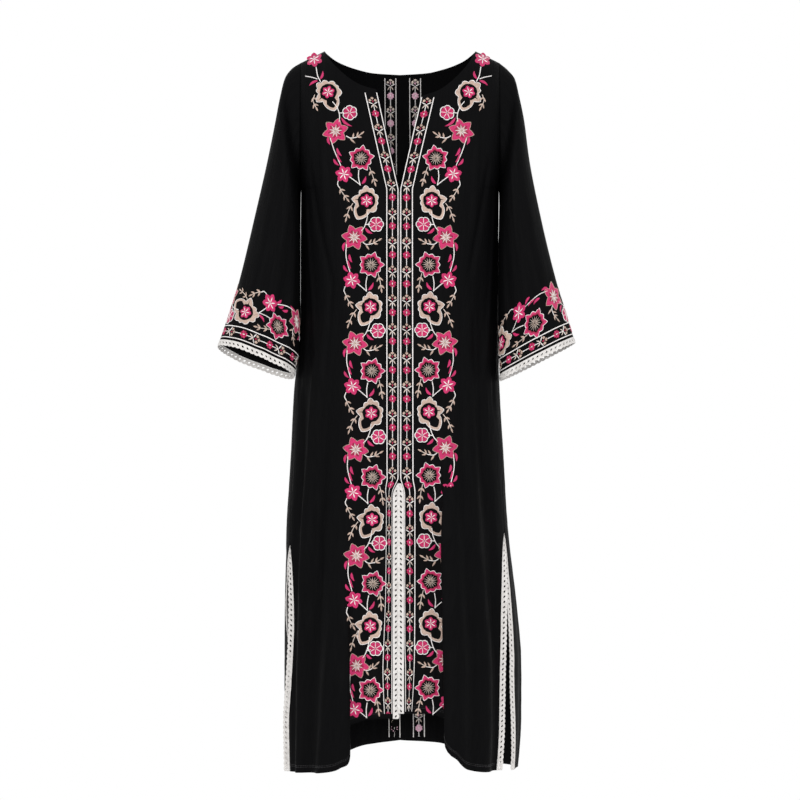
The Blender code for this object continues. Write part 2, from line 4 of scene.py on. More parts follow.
import bmesh
import bpy
import numpy as np
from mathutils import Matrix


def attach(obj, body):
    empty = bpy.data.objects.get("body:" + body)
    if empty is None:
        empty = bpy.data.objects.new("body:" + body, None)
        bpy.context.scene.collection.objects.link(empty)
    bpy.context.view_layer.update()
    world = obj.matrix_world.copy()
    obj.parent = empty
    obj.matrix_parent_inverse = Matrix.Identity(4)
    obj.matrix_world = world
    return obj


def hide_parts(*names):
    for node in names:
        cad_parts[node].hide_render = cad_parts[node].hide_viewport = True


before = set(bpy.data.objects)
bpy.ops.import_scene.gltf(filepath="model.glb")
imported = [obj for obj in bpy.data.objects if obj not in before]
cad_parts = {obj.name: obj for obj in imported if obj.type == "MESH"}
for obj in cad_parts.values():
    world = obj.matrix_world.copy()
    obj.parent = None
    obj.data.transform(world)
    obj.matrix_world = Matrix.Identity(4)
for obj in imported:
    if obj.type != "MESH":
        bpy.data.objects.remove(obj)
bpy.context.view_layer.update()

# Camera and light. The dress is seen straight from the front, a little above its middle, in an even
# white studio; soft lights stand to both sides, behind it and close over the camera, so that the black
# cloth keeps its depth and the inside of neck and cuffs is lit.
VIEW_DISTANCE = 5.0
VIEW_HEIGHT = -0.6273
FRAME_WIDTH = 1.44
SENSOR = 36.0


class Value:
    """A socket of a material's tree, so that shader maths reads as ordinary sums."""

    def __init__(self, tree, socket):
        self.tree = tree
        self.socket = socket

    def node(self, kind, settings=None, inputs=None, output=0):
        """Adds any node: its settings first, then values or links for its sockets."""
        made = self.tree.nodes.new(kind)
        for name, value in (settings or {}).items():
            setattr(made, name, value)
        for name, value in (inputs or {}).items():
            if isinstance(value, Value):
                self.tree.links.new(value.socket, made.inputs[name])
            else:
                made.inputs[name].default_value = value
        return Value(self.tree, made.outputs[output])

    def math(self, operation, first, second=None):
        inputs = {0: first}
        if second is not None:
            inputs[1] = second
        return self.node("ShaderNodeMath", {"operation": operation}, inputs)

    def __add__(self, other):
        return self.math("ADD", self, other)

    def __sub__(self, other):
        return self.math("SUBTRACT", self, other)

    def __rsub__(self, other):
        return self.math("SUBTRACT", other, self)

    def __mul__(self, other):
        return self.math("MULTIPLY", self, other)

    def sine(self):
        return self.math("SINE", self)

    def blend(self, low, high):
        """Colour from low to high as this value goes from 0 to 1."""
        kind = {"data_type": "RGBA", "clamp_factor": True}
        return self.node("ShaderNodeMix", kind, {0: self, 6: low, 7: high}, 2)


def linear(red, green, blue):
    """Scene colour of a colour as seen on a screen, 0 to 255."""
    parts = []
    for value in (red, green, blue):
        share = value / 255
        parts.append(share / 12.92 if share <= 0.04045 else ((share + 0.055) / 1.055) ** 2.4)
    return (*parts, 1.0)


def new_finish(name, **fixed):
    """A material with uniform numbers set on its shader; returns it, its shader and a first value."""
    material = bpy.data.materials.new(name)
    material.use_nodes = True
    tree = material.node_tree
    shader = tree.nodes["Principled BSDF"]
    for socket, value in fixed.items():
        shader.inputs[socket.replace("_", " ")].default_value = value
    return material, shader, Value(tree, None)


def feed(shader, name, value):
    value.tree.links.new(value.socket, shader.inputs[name])


eye = bpy.data.cameras.new("eye")
eye.lens = SENSOR * VIEW_DISTANCE / FRAME_WIDTH
eye.sensor_width = SENSOR
eye_object = bpy.data.objects.new("eye", eye)
eye_object.location = (0.0, -VIEW_DISTANCE, VIEW_HEIGHT)
eye_object.rotation_euler = (math.pi / 2, 0.0, 0.0)
bpy.context.scene.collection.objects.link(eye_object)
bpy.context.scene.camera = eye_object
bpy.context.scene.view_settings.view_transform = "Standard"

world = bpy.data.worlds.new("studio_air")
world.use_nodes = True
world.node_tree.nodes["Background"].inputs["Color"].default_value = (1.0, 1.0, 1.0, 1.0)
world.node_tree.nodes["Background"].inputs["Strength"].default_value = 1.0
bpy.context.scene.world = world

LAMP_AIM = (0.0, 0.0, -0.6)
Lamp = namedtuple("Lamp", "name x y z size power")
for lamp in (
    Lamp("key_softbox", -2.4, -3.2, 1.3, 1.8, 24.0),
    Lamp("fill_softbox", 2.6, -3.0, 0.9, 2.2, 14.0),
    Lamp("camera_softbox", 0.0, -4.7, -0.2, 0.7, 62.0),
    Lamp("back_softbox", 0.0, 3.2, 1.2, 2.0, 30.0),
):
    light = bpy.data.lights.new(lamp.name, "AREA")
    light.shape = "SQUARE"
    light.size = lamp.size
    light.energy = lamp.power
    holder = bpy.data.objects.new(lamp.name, light)
    place = np.array([lamp.x, lamp.y, lamp.z])
    aim = np.array(LAMP_AIM) - place
    holder.location = place
    flat = math.hypot(aim[0], aim[1])
    holder.rotation_euler = (math.atan2(flat, -aim[2]), 0.0, math.atan2(aim[1], aim[0]) - math.pi / 2)
    bpy.context.scene.collection.objects.link(holder)

# Back of the dress: one piece of light crinkled cloth from the shallow scooped neck to the hem, sewn
# to both fronts at the shoulders and down the sides as far as the side slits.
CLOTH_WALL = 0.0008
SHOULDER_GAP = 0.0004
SHOULDER_GAP_FROM = -0.20
ARMHOLE_GAP = 0.0005
ARMHOLE_GAP_RUN = 0.03
SIDE_SEAM_GAP = 0.0007
NECK_HALF_WIDTH = 0.136
NECK_RISE = 0.03
BACK_NECK_DROP = 0.0345
SHOULDER_END = 0.178
SHOULDER_END_Z = -0.0205
SHOULDER_ROUND = 0.20
UNDERARM_Z = -0.25
ARMHOLE_ROUND = 0.13
ARMHOLE_SHARE = 0.60
CHEST_BLEND_FROM = -0.40
CHEST_BLEND_TO = -0.10
SIDE_SLIT_TOP = {-1: -0.879, 1: -0.857}
SIDE_SLIT_RUN = 0.02
FOLD_TABLE_HEM = -1.29
SQUARENESS = 2.3
EDGE_ROUNDS = 40
ROWS_TO_UNDERARM = 170
BACK_COLUMNS = 84
BACK_ROWS_ABOVE = 46

Section = namedtuple("Section", "z left right front back seam")
SECTIONS = [
    Section(0.040, 0.1780, 0.1780, 0.094, 0.082, 90.0),
    Section(-0.100, 0.1780, 0.1780, 0.106, 0.098, 90.0),
    Section(-0.250, 0.1780, 0.1780, 0.115, 0.102, 90.0),
    Section(-0.310, 0.1785, 0.1772, 0.115, 0.100, 88.0),
    Section(-0.450, 0.1790, 0.1770, 0.112, 0.098, 84.0),
    Section(-0.560, 0.1860, 0.1775, 0.111, 0.099, 80.0),
    Section(-0.620, 0.1912, 0.1798, 0.111, 0.100, 78.0),
    Section(-0.735, 0.1968, 0.1866, 0.112, 0.102, 75.0),
    Section(-0.870, 0.2045, 0.1945, 0.114, 0.105, 72.0),
    Section(-1.000, 0.2060, 0.2070, 0.117, 0.108, 70.0),
    Section(-1.100, 0.2060, 0.2135, 0.119, 0.110, 70.0),
    Section(-1.200, 0.2050, 0.2130, 0.121, 0.112, 70.0),
    Section(-1.310, 0.2040, 0.2050, 0.122, 0.113, 70.0),
]
SlitEdge = namedtuple("SlitEdge", "below left_front left_back right_front right_back")
SLIT_EDGES = [
    SlitEdge(0.00, 72.0, 72.0, 72.0, 72.0),
    SlitEdge(0.05, 70.0, 79.0, 66.0, 75.0),
    SlitEdge(0.14, 69.2, 82.5, 60.8, 75.0),
    SlitEdge(0.25, 72.0, 87.0, 57.8, 73.0),
    SlitEdge(0.34, 77.0, 94.0, 57.6, 75.5),
    SlitEdge(0.43, 77.5, 96.0, 58.0, 83.0),
]
BackNeckPoint = namedtuple("BackNeckPoint", "x drop")
BACK_NECKLINE = [
    BackNeckPoint(0.000, 1.00),
    BackNeckPoint(0.048, 0.92),
    BackNeckPoint(0.082, 0.72),
    BackNeckPoint(0.102, 0.54),
    BackNeckPoint(0.116, 0.37),
    BackNeckPoint(0.136, 0.00),
]
HemPoint = namedtuple("HemPoint", "x left right")
BACK_HEM = [
    HemPoint(0.000, -1.252, -1.252),
    HemPoint(0.060, -1.262, -1.257),
    HemPoint(0.110, -1.276, -1.268),
    HemPoint(0.170, -1.288, -1.282),
    HemPoint(0.220, -1.293, -1.292),
]
Overlap = namedtuple("Overlap", "side x_top x_hem half_width forward lap start full fade")
OVERLAPS = [
    Overlap(-1, 0.0905, 0.0885, 0.015, 0.030, 0.0078, -0.820, -1.160, 0.085),
    Overlap(1, 0.0735, 0.0845, 0.016, 0.036, 0.0128, -0.690, -0.900, 0.080),
]
Fold = namedtuple("Fold", "side start_at hem_at half_width height start full")
FOLDS = [
    Fold(-1, 34.0, 50.0, 5.0, -0.010, -0.350, -1.000),
    Fold(-1, 45.0, 61.0, 5.5, 0.008, -0.450, -1.150),
    Fold(-1, 27.0, 41.5, 3.6, 0.007, -0.800, -1.150),
    Fold(-1, 58.0, 66.0, 5.0, -0.007, -0.300, -0.900),
    Fold(1, 50.0, 53.5, 4.6, -0.009, -0.320, -0.850),
    Fold(1, 40.0, 44.0, 4.6, 0.007, -0.420, -1.000),
    Fold(1, 33.0, 35.0, 3.8, -0.008, -0.500, -1.000),
    Fold(-1, 88.0, 81.0, 5.0, -0.006, -0.880, -1.000),
    Fold(-1, 108.0, 104.0, 6.0, 0.010, -0.420, -1.100),
    Fold(-1, 121.0, 118.0, 5.5, -0.012, -0.360, -1.000),
    Fold(-1, 136.0, 135.0, 6.5, 0.013, -0.500, -1.150),
    Fold(-1, 150.0, 149.0, 5.0, -0.010, -0.560, -1.200),
    Fold(-1, 165.0, 163.0, 6.0, 0.009, -0.480, -1.150),
    Fold(1, 180.0, 179.0, 5.5, -0.009, -0.640, -1.200),
    Fold(1, 163.0, 161.0, 6.0, 0.011, -0.420, -1.100),
    Fold(1, 146.0, 147.0, 5.5, -0.012, -0.600, -1.150),
    Fold(1, 131.0, 130.0, 6.5, 0.012, -0.380, -1.050),
    Fold(1, 115.0, 113.0, 5.5, -0.011, -0.480, -1.100),
    Fold(1, 101.0, 97.0, 5.5, 0.008, -0.620, -1.150),
]

# Creases too fine for the solid: place at top and bottom in degrees round from the centre front,
# half-width in degrees, height, and the heights between which they run
Crease = namedtuple("Crease", "side top_at bottom_at half_width height top bottom")
CREASES = [
    Crease(-1, 62.0, 40.0, 2.6, -0.0030, -0.215, -0.420),
    Crease(-1, 70.0, 55.0, 2.2, 0.0026, -0.230, -0.520),
    Crease(-1, 50.0, 44.0, 3.0, 0.0022, -0.120, -0.330),
    Crease(-1, 78.0, 68.0, 2.4, -0.0026, -0.270, -0.620),
    Crease(-1, 40.0, 47.0, 2.0, -0.0024, -0.420, -0.800),
    Crease(-1, 52.0, 57.0, 1.8, 0.0022, -0.540, -0.980),
    Crease(-1, 64.0, 60.0, 1.8, -0.0022, -0.600, -0.860),
    Crease(-1, 40.0, 45.5, 1.5, -0.0024, -0.900, -1.290),
    Crease(-1, 50.0, 55.5, 1.6, 0.0024, -1.020, -1.290),
    Crease(1, 60.0, 42.0, 2.6, -0.0030, -0.210, -0.400),
    Crease(1, 71.0, 58.0, 2.2, 0.0026, -0.240, -0.560),
    Crease(1, 48.0, 45.0, 3.0, 0.0020, -0.110, -0.310),
    Crease(1, 78.0, 66.0, 2.2, -0.0026, -0.300, -0.640),
    Crease(1, 45.0, 47.0, 1.8, -0.0022, -0.480, -0.820),
    Crease(1, 57.0, 50.0, 1.8, 0.0024, -0.620, -1.000),
    Crease(1, 36.0, 38.0, 1.5, 0.0022, -0.800, -1.270),
    Crease(1, 47.0, 49.0, 1.6, -0.0024, -0.920, -1.280),
    Crease(-1, 118.0, 138.0, 2.8, -0.0032, -0.200, -0.420),
    Crease(-1, 108.0, 124.0, 2.4, 0.0028, -0.230, -0.560),
    Crease(-1, 150.0, 154.0, 2.4, -0.0024, -0.300, -0.700),
    Crease(-1, 128.0, 129.0, 1.9, 0.0024, -0.640, -1.100),
    Crease(-1, 143.0, 142.0, 1.8, -0.0024, -0.800, -1.260),
    Crease(-1, 172.0, 171.0, 2.0, 0.0022, -0.520, -1.240),
    Crease(-1, 112.0, 111.0, 1.8, 0.0022, -0.760, -1.280),
    Crease(1, 120.0, 140.0, 2.8, -0.0030, -0.210, -0.440),
    Crease(1, 106.0, 122.0, 2.4, 0.0028, -0.240, -0.540),
    Crease(1, 152.0, 156.0, 2.4, 0.0024, -0.280, -0.760),
    Crease(1, 138.0, 139.0, 1.9, -0.0024, -0.560, -1.020),
    Crease(1, 123.0, 122.0, 1.8, 0.0024, -0.700, -1.240),
    Crease(1, 170.0, 170.0, 2.0, -0.0024, -0.600, -1.220),
    Crease(1, 108.0, 106.0, 1.8, -0.0020, -0.820, -1.270),
]
CREASE_FADE = 0.06
CRINKLE_HEIGHT = 0.00022
CRINKLE_PER_DEGREE = 0.0034
CALM_BELOW_SHOULDER = 0.09
CALM_EDGE_FROM = -0.32
CALM_EDGE_RUN = 0.07
EDGE_POWER = 12
MIDDLE_FOLD_FROM = 150
STREAK_SCALE = (420.0, 38.0, 1.0)
WAVE_SCALE = (95.0, 14.0, 1.0)
WEAVE_SCALE = 9000.0


def smooth(knots, values, at):
    """Values on a smooth curve through the knots that never swings past them."""
    knots = np.asarray(knots, float)
    values = np.asarray(values, float)
    order = np.argsort(knots)
    knots = knots[order]
    values = values[order]
    step = np.diff(knots)
    rise = np.diff(values) / step
    slope = np.zeros(len(knots))
    slope[0] = rise[0]
    slope[-1] = rise[-1]
    for i in range(1, len(step)):
        if rise[i - 1] * rise[i] > 0:
            slope[i] = 2 * rise[i - 1] * rise[i] / (rise[i - 1] + rise[i])
    at = np.clip(np.asarray(at, float), knots[0], knots[-1])
    i = np.clip(np.searchsorted(knots, at) - 1, 0, len(step) - 1)
    t = (at - knots[i]) / step[i]
    return (
        values[i] * (1 + 2 * t) * (1 - t) ** 2
        + slope[i] * step[i] * t * (1 - t) ** 2
        + values[i + 1] * t**2 * (3 - 2 * t)
        - slope[i + 1] * step[i] * t**2 * (1 - t)
    )


def column(rows, name):
    return [getattr(row, name) for row in rows]


def section(name, z):
    return smooth(column(SECTIONS, "z"), column(SECTIONS, name), z)


def half_width(side, z):
    return section("left" if side < 0 else "right", z)


def ease(t):
    """From 0 to 1 with level ends."""
    t = np.clip(t, 0, 1)
    return t * t * (3 - 2 * t)


def angle_of(share):
    """Degrees round from the centre front where the plan reaches this share of its half-width."""
    return np.degrees(np.arcsin(np.clip(share, 0, 1) ** (SQUARENESS / 2)))


def share_at(angle):
    """Share of its half-width that the plan reaches at an angle."""
    return np.clip(np.sin(np.radians(angle)), 0, 1) ** (2 / SQUARENESS)


def shoulder_line(x):
    """Height of the shoulder line, carried on as a low arch over the open neck."""
    x = np.abs(x)
    slope = SHOULDER_END_Z / (SHOULDER_END - NECK_HALF_WIDTH)
    arch = NECK_RISE * (1 - (x / NECK_HALF_WIDTH) ** 2)
    return np.where(x > NECK_HALF_WIDTH, (x - NECK_HALF_WIDTH) * slope, arch)


def shoulder_round(x, z):
    """Share of the full depth: none on the shoulder line, all of it well below."""
    t = np.clip((shoulder_line(x) - z) / SHOULDER_ROUND, 0, 1)
    return np.sqrt(np.maximum(1 - (1 - t) ** 2, 0))


def armhole_share(z):
    """Depth of the armhole as a share of the panel's depth, none at and below the underarm."""
    t = np.clip((z - UNDERARM_Z) / ARMHOLE_ROUND, 0, 1)
    return ARMHOLE_SHARE * np.sqrt(np.maximum(1 - (1 - t) ** 2, 0))


def armhole_depth(z, panel):
    """Distance of the armhole's edge from the shoulder plane."""
    return section(panel, z) * shoulder_round(SHOULDER_END, z) * armhole_share(z)


def crinkle(across, up):
    """Fine uneven upright waves of the crushed cloth, from -1 to 1, by place on the cloth."""
    wander = 0.006 * np.sin(up * 41.0 + 7.0 * np.sin(across * 23.0))
    place = across + (wander + 0.004 * np.sin(up * 97.0 + across * 31.0))
    wave = np.sin(place * 390.0 + 2.1 * np.sin(up * 19.0))
    wave = wave + 0.8 * np.sin(place * 611.0 + 1.7 * np.sin(up * 33.0 + 1.3))
    wave = wave + 0.6 * np.sin(place * 233.0 - up * 11.0)
    return wave / 2.4


def body_point(side, angle, z, panel):
    """Point of the outer face of the body at an angle round from the centre front, folds and all."""
    angle, z = np.broadcast_arrays(np.asarray(angle, float), np.asarray(z, float))
    turn = np.radians(angle)
    sine = np.clip(np.sin(turn), 0, 1)
    cosine = np.cos(turn)
    wide = half_width(side, z)
    out = wide * sine ** (2 / SQUARENESS)
    deep = np.where(cosine > 1e-9, section("front", z), section("back", z))
    deep = np.where(z > UNDERARM_Z, section(panel, z), deep)
    chest = ease((z - CHEST_BLEND_FROM) / (CHEST_BLEND_TO - CHEST_BLEND_FROM))
    near_edge = sine**EDGE_POWER
    share = near_edge * armhole_share(z) + (1 - near_edge) * ARMHOLE_SHARE * chest
    crown = share + (1 - share) * np.abs(cosine) ** (2 / SQUARENESS)
    facing = np.where(z > UNDERARM_Z, -1.0 if panel == "front" else 1.0, -np.sign(cosine))
    across = facing * deep * shoulder_round(out, z) * crown

    normal_x = out / wide**2
    normal_y = across / deep**2
    length = np.maximum(np.hypot(normal_x, normal_y), 1e-9)
    relief = np.zeros_like(out)
    for fold in FOLDS:
        if fold.side != side and fold.start_at <= MIDDLE_FOLD_FROM:
            continue
        grow = ease((fold.start - z) / (fold.start - fold.full))
        run = np.clip((fold.start - z) / (fold.start - FOLD_TABLE_HEM), 0, 1)
        middle = fold.start_at + (fold.hem_at - fold.start_at) * run
        offset = (angle if fold.side == side else 360 - angle) - middle
        relief += fold.height * grow * np.exp(-((offset / fold.half_width) ** 2))
    calm = ease((shoulder_line(out) - z) / CALM_BELOW_SHOULDER)
    calm = calm * (1 - near_edge * ease((z - CALM_EDGE_FROM) / CALM_EDGE_RUN))
    for crease in CREASES:
        if crease.side != side:
            continue
        share = (crease.top - z) / (crease.top - crease.bottom)
        fade = CREASE_FADE / (crease.top - crease.bottom)
        grow = ease(share / fade + 0.5) * ease((1 - share) / fade + 0.5)
        middle = crease.top_at + (crease.bottom_at - crease.top_at) * np.clip(share, 0, 1)
        relief += calm * crease.height * grow * np.exp(-(((angle - middle) / crease.half_width) ** 2))
    relief += CRINKLE_HEIGHT * calm * crinkle(angle * CRINKLE_PER_DEGREE * side, z)
    out = out + relief * normal_x / length
    across = across + relief * normal_y / length

    for lap in OVERLAPS:
        if lap.side != side:
            continue
        grow = ease((lap.start - z) / (lap.start - lap.full)) * (cosine > 0)
        run = np.clip((lap.start - z) / (lap.start - FOLD_TABLE_HEM), 0, 1)
        offset = out - (lap.x_top + (lap.x_hem - lap.x_top) * run)
        inside = np.abs(offset) < lap.half_width
        step = ease((offset + lap.half_width) / (2 * lap.half_width))
        fade = 1 - ease((offset - lap.half_width) / lap.fade)
        swing = np.sin(np.pi * offset / lap.half_width)
        out = out - np.where(inside, lap.lap * grow * swing, 0)
        across = across - lap.forward * grow * step * fade
    return np.stack([side * out, across, z], axis=-1)


def slit_edge(name, side, z):
    """Angle of a side edge of the front or back: the side seam, then the slit's edge."""
    below = SIDE_SLIT_TOP[side] - z
    label = ("left_" if side < 0 else "right_") + name
    knots = column(SLIT_EDGES, "below")
    shift = smooth(knots, column(SLIT_EDGES, label), below) - SLIT_EDGES[0].left_front
    return section("seam", z) + np.where(below > 0, shift, 0) * ease(below / SIDE_SLIT_RUN)


def back_top(x):
    """Height of the back's top edge: neckline, then shoulder seam."""
    x = np.abs(x)
    drop = smooth(column(BACK_NECKLINE, "x"), column(BACK_NECKLINE, "drop"), x)
    return np.where(x < NECK_HALF_WIDTH, -BACK_NECK_DROP * drop, shoulder_line(x))


def hem_height(rows, side, x):
    return smooth(column(rows, "x"), column(rows, "left" if side < 0 else "right"), np.abs(x))


def panel_heights(hem, top, low_rows, high_rows):
    """Rows of heights from hem to underarm and on to the top edge."""
    low = np.linspace(0, 1, low_rows + 1)[:, None]
    turn = np.linspace(0, math.pi, high_rows + 1)[1:, None]
    high = (1 - np.cos(turn)) / 2
    lower = hem + (UNDERARM_Z - hem) * low
    upper = UNDERARM_Z + (top - UNDERARM_Z) * high
    return np.concatenate([lower, upper]), low_rows + 1


def pull_back(edge, inner, distance):
    """Edge points moved into the panel, towards the next column."""
    way = inner - edge
    return edge + way * (distance / np.linalg.norm(way, axis=-1, keepdims=True))


def armhole_inset(z):
    """Share by which a panel is narrowed beside the armhole, so that the sleeve's edge is clear."""
    return ARMHOLE_GAP / 2 / SHOULDER_END * ease((z - UNDERARM_Z + ARMHOLE_GAP_RUN) / ARMHOLE_GAP_RUN)


def back_points(side_columns, low_rows, high_rows):
    """Grid of the back's outer face, rows from hem to top, columns from left to right."""
    half = np.linspace(0, 1, side_columns + 1)
    halves = []
    for side in (-1, 1):
        top = np.full_like(half, SHOULDER_END_Z)
        hem = np.full_like(half, BACK_HEM[-1].left)
        for _ in range(EDGE_ROUNDS):
            reach = SHOULDER_END * share_at(90 + 90 * half)
            top = (top + back_top(reach)) / 2
            edge_angle = slit_edge("back", side, hem)
            reach = half_width(side, hem) * share_at(edge_angle + (180 - edge_angle) * half)
            hem = (hem + hem_height(BACK_HEM, side, reach)) / 2
        z, seam_rows = panel_heights(hem, top, low_rows, high_rows)
        edge_angle = slit_edge("back", side, z)
        grid = body_point(side, edge_angle + (180 - edge_angle) * half, z, "back")
        edge = grid[:seam_rows, 0]
        grid[:seam_rows, 0] = pull_back(edge, grid[:seam_rows, 1], SIDE_SEAM_GAP / 2)
        grid[..., 0] *= 1 - armhole_inset(z)
        near = z > SHOULDER_GAP_FROM
        grid[..., 1] = np.where(near, np.maximum(grid[..., 1], SHOULDER_GAP / 2), grid[..., 1])
        halves.append(grid)
    left, right = halves
    middle = (left[:, -1:] + right[:, -1:]) / 2
    middle[..., 0] = 0
    return np.concatenate([left[:, :-1], middle, right[:, -2::-1]], axis=1)


def cloth_piece(name, grid, outwards, closed, wall, finish):
    """A thin shell of cloth inwards from a grid of points, with its flat place in a UV map, in metres."""
    rows, columns = grid.shape[:2]
    row = np.arange(rows - 1)[:, None]
    col = np.arange(columns if closed else columns - 1)[None, :]
    a = row * columns + col
    b = row * columns + (col + 1) % columns
    faces = np.stack([a, b, b + columns, a + columns], axis=-1).reshape(-1, 4)
    if not outwards:
        faces = faces[:, ::-1]
    mesh = bpy.data.meshes.new(name)
    mesh.from_pydata(grid.reshape(-1, 3).tolist(), [], faces.tolist())
    mesh.shade_smooth()
    steps = np.linalg.norm(np.diff(grid, axis=1), axis=-1).mean(axis=0)
    along = np.concatenate([[0], np.cumsum(steps)])
    rises = np.linalg.norm(np.diff(grid, axis=0), axis=-1).mean(axis=1)
    up = np.concatenate([[0], np.cumsum(rises)])
    flat = np.stack(np.broadcast_arrays(along[None, :], up[:, None]), axis=-1).reshape(-1, 2)
    layer = mesh.uv_layers.new(name="cloth")
    corners = np.empty(len(mesh.loops), dtype=np.int32)
    mesh.loops.foreach_get("vertex_index", corners)
    layer.data.foreach_set("uv", flat[corners].ravel().astype(np.float32))
    mesh.materials.append(finish)
    piece = bpy.data.objects.new(name, mesh)
    bpy.context.scene.collection.objects.link(piece)
    solidify = piece.modifiers.new("cloth_thickness", "SOLIDIFY")
    solidify.thickness = wall
    solidify.offset = -1.0
    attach(piece, "root")
    return piece


def black_cloth(name):
    """Near-black light woven cloth, crushed into fine upright crinkles, with a faint soft shine."""
    material, shader, first = new_finish(name, Specular_IOR_Level=0.045)
    place = first.node("ShaderNodeUVMap", {"uv_map": "cloth"})

    def stretched_noise(scale, detail, roughness):
        stretched = first.node("ShaderNodeMapping", None, {0: place, "Scale": scale})
        return first.node("ShaderNodeTexNoise", {"noise_dimensions": "2D"},
                          {0: stretched, "Scale": 1.0, "Detail": detail, "Roughness": roughness})

    streaks = stretched_noise(STREAK_SCALE, 3.0, 0.55)
    waves = stretched_noise(WAVE_SCALE, 2.0, 0.5)
    across, up = (first.node("ShaderNodeSeparateXYZ", None, {0: place}, axis) for axis in range(2))
    weave = ((across * WEAVE_SCALE).sine() * (up * WEAVE_SCALE).sine() + 1.0) * 0.5
    height = streaks * 0.55 + waves * 0.9 + weave * 0.05
    bump = first.node("ShaderNodeBump", None, {"Height": height, "Strength": 0.55, "Distance": 0.0012})
    feed(shader, "Normal", bump)
    feed(shader, "Base Color", (streaks * 0.7 + weave * 0.3).blend(linear(3, 3, 4), linear(9, 9, 10)))
    feed(shader, "Roughness", waves * 0.22 + 0.56)
    return material


CLOTH = black_cloth("black_crinkled_cloth")
back_grid = back_points(BACK_COLUMNS, ROWS_TO_UNDERARM, BACK_ROWS_ABOVE)
back = cloth_piece("back_panel", back_grid, False, False, CLOTH_WALL, CLOTH)
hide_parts("back")

# Two fronts: each runs from the hem to the shoulder seam; they meet in the centre-front seam between
# the neck slit and the hem slit, and each turns over on itself beside the embroidery lower down.
SIDES = ((-1, "left"), (1, "right"))
SEAM_GAP = 0.0003
NECK_SLIT_BOTTOM = -0.257
NECK_SLIT_CORNER = {-1: 0.0416, 1: 0.0380}
NECK_SLIT_CORNER_Z = {-1: -0.0788, 1: -0.0905}
FRONT_SLIT_TOP = -0.765
FRONT_SLIT_RUN = 0.030
FRONT_SLIT_OPEN = {-1: 0.0128, 1: 0.0072}
FRONT_SLIT_POWER = 0.7
OVERLAP_FROM = {-1: 0.215, 1: 0.180}
OVERLAP_TO = {-1: 0.405, 1: 0.375}
FRONT_COLUMNS = (14, 34, 6, 30)
FRONT_ROWS_ABOVE = 60
NeckPoint = namedtuple("NeckPoint", "out up")
FRONT_NECKLINE = [
    NeckPoint(0.00, 0.00),
    NeckPoint(0.30, 0.12),
    NeckPoint(0.51, 0.28),
    NeckPoint(0.72, 0.51),
    NeckPoint(0.88, 0.74),
    NeckPoint(1.00, 1.00),
]
FRONT_HEM = [
    HemPoint(0.000, -1.187, -1.178),
    HemPoint(0.060, -1.190, -1.180),
    HemPoint(0.081, -1.200, -1.205),
    HemPoint(0.100, -1.268, -1.256),
    HemPoint(0.120, -1.279, -1.275),
    HemPoint(0.150, -1.285, -1.283),
    HemPoint(0.210, -1.292, -1.286),
]


def inner_edge(side, z):
    """Distance of a front's inner edge from the centre: neck slit, centre seam, hem slit."""
    corner = NECK_SLIT_CORNER[side]
    corner_z = NECK_SLIT_CORNER_Z[side]
    neck = corner * np.clip((z - NECK_SLIT_BOTTOM) / (corner_z - NECK_SLIT_BOTTOM), 0, 1)
    hem = FRONT_SLIT_OPEN[side] * ease((FRONT_SLIT_TOP - z) / FRONT_SLIT_RUN) ** FRONT_SLIT_POWER
    return np.maximum(neck + hem, SEAM_GAP / 2)


def front_angle(side, share, z):
    """Angle at a share of the way from a front's inner edge to its side edge."""
    inner = angle_of(inner_edge(side, z) / half_width(side, z))
    return inner + share * (slit_edge("front", side, z) - inner)


def front_top(side, x):
    """Height of a front's top edge: neckline, then shoulder seam."""
    corner = NECK_SLIT_CORNER[side]
    corner_z = NECK_SLIT_CORNER_Z[side]
    share = (np.abs(x) - corner) / (NECK_HALF_WIDTH - corner)
    rise = smooth(column(FRONT_NECKLINE, "out"), column(FRONT_NECKLINE, "up"), share)
    return np.where(share < 1, corner_z * (1 - rise), shoulder_line(x))


def front_points(side, low_rows, high_rows):
    """Grid of a front's outer face, rows from hem to top, columns from inner edge to side edge."""
    corner = angle_of(NECK_SLIT_CORNER[side] / SHOULDER_END)
    peak = (angle_of(NECK_HALF_WIDTH / SHOULDER_END) - corner) / (90 - corner)
    stops = (0, OVERLAP_FROM[side], OVERLAP_TO[side], peak)
    runs = [np.linspace(a, b, n, endpoint=False) for a, b, n in zip(stops, stops[1:], FRONT_COLUMNS)]
    share = np.concatenate([*runs, np.linspace(peak, 1, FRONT_COLUMNS[-1])])
    top = np.full_like(share, NECK_SLIT_CORNER_Z[side])
    hem = np.full_like(share, FRONT_HEM[-1].left)
    for _ in range(EDGE_ROUNDS):
        reach = SHOULDER_END * share_at(front_angle(side, share, top))
        top = (top + front_top(side, reach)) / 2
        reach = half_width(side, hem) * share_at(front_angle(side, share, hem))
        hem = (hem + hem_height(FRONT_HEM, side, reach)) / 2
    z, seam_rows = panel_heights(hem, top, low_rows, high_rows)
    grid = body_point(side, front_angle(side, share, z), z, "front")
    edge = grid[:seam_rows, -1]
    grid[:seam_rows, -1] = pull_back(edge, grid[:seam_rows, -2], SIDE_SEAM_GAP / 2)
    grid[..., 0] *= 1 - armhole_inset(z)
    near = z > SHOULDER_GAP_FROM
    grid[..., 1] = np.where(near, np.minimum(grid[..., 1], -SHOULDER_GAP / 2), grid[..., 1])
    inner = np.abs(grid[..., 0]) < SEAM_GAP / 2
    grid[..., 0] = np.where(inner, side * SEAM_GAP / 2, grid[..., 0])
    return grid


front_grids = {}
for side, label in SIDES:
    front_grids[side] = front_points(side, ROWS_TO_UNDERARM, FRONT_ROWS_ABOVE)
    front = cloth_piece("front_panel_" + label, front_grids[side], side > 0, False, CLOTH_WALL, CLOTH)
    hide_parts("front_" + label)

